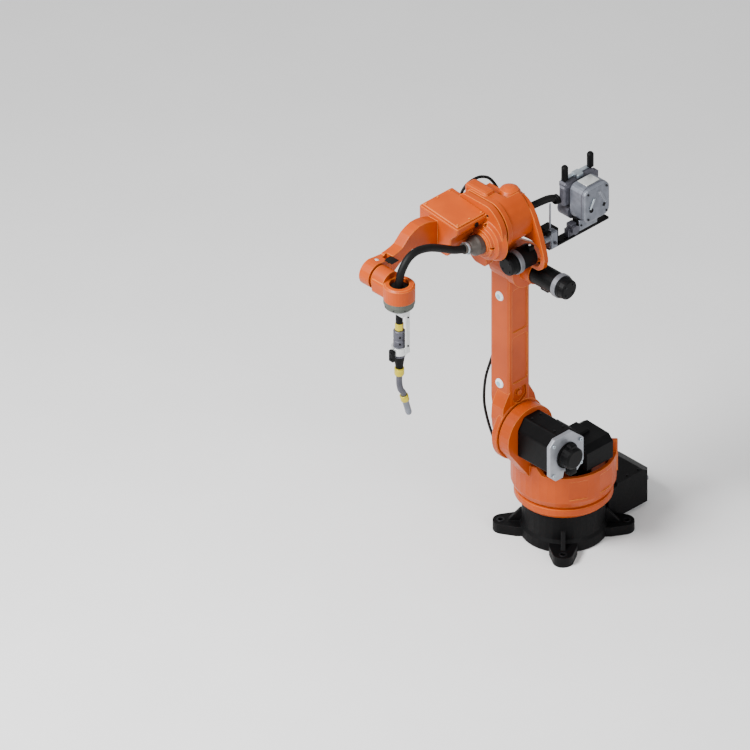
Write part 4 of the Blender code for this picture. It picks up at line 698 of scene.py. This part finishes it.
def feeder_foot():
    """The feeder's foot on its rail, its side plate, a pale plate on the case's top that is a painted
    highlight, and their screws.
    """
    hub = [(0.0, 0.0), (0.0150, 0.0), (0.0170, 0.002), (0.0170, 0.012), (0.0, 0.012)]
    mesh = bmesh.new()
    block(mesh, (-0.0172, 0.0225, RAIL_TOP), (0.0100, 0.0480, 1.3080), 0.003)
    turned(mesh, hub, facing((-0.0040, 0.0484, 1.2860), MOTOR_SIDE))
    for x in (0.0140, 0.0210):
        block(mesh, (x - 0.0022, 0.0260, RAIL_TOP), (x + 0.0022, 0.0480, 1.2920), 0.0012)
    hardware("feeder_foot", mesh, phosphated, "arm")
    mesh = bmesh.new()
    block(mesh, (-0.1120, 0.0496, 1.2700), (-0.0240, 0.0560, 1.3130))
    hardware("feeder_foot_plate", mesh, die_cast, "arm")
    # A pale nickel plate on the case's top: a painted highlight.
    mesh = bmesh.new()
    block(mesh, (FEED.x - 0.034, 0.0300, 1.4613), (FEED.x + 0.030, 0.0780, 1.4655))
    hardware("case_highlight_plate", mesh, nickel, "arm")
    places = [(x, 0.0563, 1.2920) for x in (-0.104, -0.068, -0.032)]
    screws("foot_screws", places, MOTOR_SIDE, 0.0038, 0.0030, oxide, "arm")
    places = [(x, 0.040, RAIL_TOP) for x in (-0.168, -0.130, 0.032, 0.060)]
    screws("rail_screws", places, UP, 0.0036, 0.0034, oxide, "arm")


def valve_and_motor_details():
    """Nipple and plug of the gas valve, and the screws of the feed motor."""
    nipple = [(0.0, 0.010), (0.0042, 0.010), (0.0042, 0.006), (0.0062, 0.006), (0.0062, 0.0), (0.0, 0.0)]
    mesh = bmesh.new()
    turned(mesh, nipple, facing((0.1044, 0.0622, 1.285), MOTOR_SIDE), 6)
    hardware("gas_nipple", mesh, phosphated, "arm")
    mesh = bmesh.new()
    block(mesh, (0.118, 0.0360, 1.3235), (0.138, 0.0600, 1.3370))
    hardware("valve_plug", mesh, nylon, "arm")
    places = ring_of((-0.028, -0.0346, 1.340), FAR_SIDE, 0.020, 4, 45)
    screws("feed_motor_screws", places, FAR_SIDE, 0.0024, 0.0020, zinc, "arm")


case_details()
roll_details()
feeder_foot()
valve_and_motor_details()


# Forearm.

def forearm_screws():
    """Screws of the lid and the bowl, and the round plug in the motor box."""
    lid_rise = Vector((0.0, 0.0995, 0.9950))
    places = []
    for x in (0.386, 0.4445, 0.503):
        for y in (-0.180, -0.021):
            z = A4_Z + 0.121 - 0.10 * (y + 0.197) + 0.0064
            places.append((x, y, z))
    screws("lid_screws", places, lid_rise, 0.0042, 0.0024, orange_cover, "forearm")
    screws("bowl_screws", [(FORE_X + 0.0182, 0.0, A4_Z + 0.098)], AHEAD, 0.0052, 0.0050, oxide, "forearm")
    screws("box_plug", [(0.425, BOX_FACE + 0.0003, 1.479)], MOTOR_SIDE, 0.0095, 0.0018, nylon, "forearm")


def neck_details():
    """The black flap in the neck's notch, a pale cap on the neck's eye that is a painted highlight, and the
    eye's screws.
    """
    mesh = bmesh.new()
    block(mesh, (A5_X - 0.0697, NECK_IN - 0.0120, A5_Z + 0.0283),
          (A5_X - 0.0463, NECK_IN - 0.0003, A5_Z + 0.046), 0.0012)
    block(mesh, (A5_X - 0.0697, NECK_IN - 0.0060, A5_Z + 0.0458),
          (A5_X - 0.0345, NECK_IN + 0.0320, A5_Z + 0.049), 0.0010)
    hardware("neck_flap", mesh, rubber, "forearm")
    # A pale nickel cap on top of the neck's eye: a painted highlight.
    cap = [(0.0, 0.0026), (0.0050, 0.0026), (0.0084, 0.0010), (0.0090, -0.0006), (0.0, -0.0006)]
    rise = Vector((-0.36, 0.0, 0.933))
    mesh = bmesh.new()
    turned(mesh, cap, facing(Vector((A5_X, -0.130, A5_Z)) + rise * (EYE_R + 0.0004), rise), 20)
    hardware("eye_highlight_cap", mesh, nickel, "forearm")
    places = ring_of((A5_X, -0.1602, A4_Z), FAR_SIDE, 0.029, 6, 30)
    screws("eye_screws", places, FAR_SIDE, 0.0036, 0.0032, oxide, "forearm")


def hose_clip():
    """The clip that holds the torch's hose in its fitting, with the block of its screw."""
    band = [(0.0202, 0.0), (0.0214, 0.0), (0.0218, 0.0006), (0.0218, 0.0084), (0.0214, 0.009),
            (0.0202, 0.009)]
    screw_at = FITTING_FOOT + FITTING_AXIS * 0.0675 + Vector((0, 0.0150, -0.0140))
    mesh = bmesh.new()
    turned(mesh, band, facing(FITTING_FOOT + FITTING_AXIS * 0.063, FITTING_AXIS), 32, True)
    block(mesh, (-0.006, -0.004, 0.0), (0.006, 0.004, 0.006), 0.001,
          place=facing(screw_at, (0.0, 0.72, -0.69)))
    hardware("hose_clip", mesh, zinc, "forearm")


forearm_screws()
neck_details()
hose_clip()


# Wrist, tool flange and torch.

def wrist_details():
    """Set screws round the collar, and the screws under the tool flange."""
    mesh = bmesh.new()
    for at in ring_of((A5_X, 0.0, 1.326), UP, 0.0531, 8, 22.5):
        socket_screw(mesh, at, Vector((at.x - A5_X, at.y, 0.0)), 0.0026, 0.0012)
    hardware("collar_screws", mesh, oxide, "wrist")
    places = ring_of((A5_X, 0.0, 1.3088), DOWN, 0.0335, 4, 0)
    screws("flange_screws", places, DOWN, 0.0030, 0.0030, oxide, "tool")


def torch_details():
    """Screws of the bracket and the clamp, buttons on the body, the brass collar, and the contact tip."""
    places = [(A5_X - 0.010, 0.0342, z) for z in (1.280, 1.160)]
    screws("bracket_screws", places, MOTOR_SIDE, 0.0034, 0.0030, oxide, "tool")
    button = [(0.0, 0.0022), (0.0030, 0.0022), (0.0038, 0.0014), (0.0038, -0.0004), (0.0, -0.0004)]
    angle = math.radians(52)
    way = Vector((math.cos(angle), math.sin(angle), 0.0))
    mesh = bmesh.new()
    for z in (1.196, 1.168):
        turned(mesh, button, facing(Vector((A5_X, 0.0, z)) + way * 0.0215, way), 14)
    hardware("torch_buttons", mesh, nylon, "tool")
    aim = Vector((-0.28, 0.0, -0.96)).normalized()
    end = Vector((A5_X - 0.024, 0.0, 0.925))
    collar = [(0.0114, -0.008), (0.0142, -0.008), (0.0156, -0.006), (0.0156, 0.017), (0.0150, 0.018),
              (0.0147, 0.018), (0.0147, -0.0004), (0.0114, -0.0004)]
    mesh = bmesh.new()
    turned(mesh, collar, facing(end, aim), closed=True)
    hardware("nozzle_collar", mesh, brass, "tool")
    tip = [(0.0, 0.0), (0.0034, 0.0), (0.0034, 0.060), (0.0022, 0.069), (0.0009, 0.069),
           (0.0009, 0.0735), (0.0, 0.0735)]
    mesh = bmesh.new()
    turned(mesh, tip, facing(end + aim * 0.011, aim), 14)
    hardware("contact_tip", mesh, copper, "tool")
    places = [(0.8533, 0.0, z) for z in (1.110, 1.136)]
    screws("clamp_screws", places, AHEAD, 0.0034, 0.0028, oxide, "tool")


wrist_details()
torch_details()


# Studio.

def studio():
    """A plain pale floor, an even white dome and two soft lamps."""
    mesh = bmesh.new()
    bmesh.ops.create_grid(mesh, x_segments=1, y_segments=1, size=12.0)
    data = bpy.data.meshes.new("floor")
    mesh.to_mesh(data)
    mesh.free()
    floor = bpy.data.objects.new("floor", data)
    floor.location.z = -0.0005
    bpy.context.scene.collection.objects.link(floor)
    # Matt white floor paint: barely uneven, so that only soft shadows show on it.
    data.materials.append(finish("matt_floor_paint", "F4F4F4", "F1F1F1", rough=0.9, swing=0.03, patch=0.6,
                                 grain=0.05, relief=0.0001, shader={"Specular IOR Level": 0.1}))
    world = bpy.data.worlds.new("studio_dome")
    bpy.context.scene.world = world
    world.use_nodes = True
    dome = world.node_tree.nodes["Background"]
    dome.inputs["Color"].default_value = (1.0, 1.0, 1.0, 1.0)
    dome.inputs["Strength"].default_value = DOME_STRENGTH
    for name, at, power in LAMPS:
        light = bpy.data.lights.new(name, "AREA")
        light.shape = "DISK"
        light.size = LAMP_SIZE
        light.energy = power
        lamp = bpy.data.objects.new(name, light)
        lamp.matrix_world = facing(at, Vector(at) - LAMPS_AIM)
        bpy.context.scene.collection.objects.link(lamp)


studio()
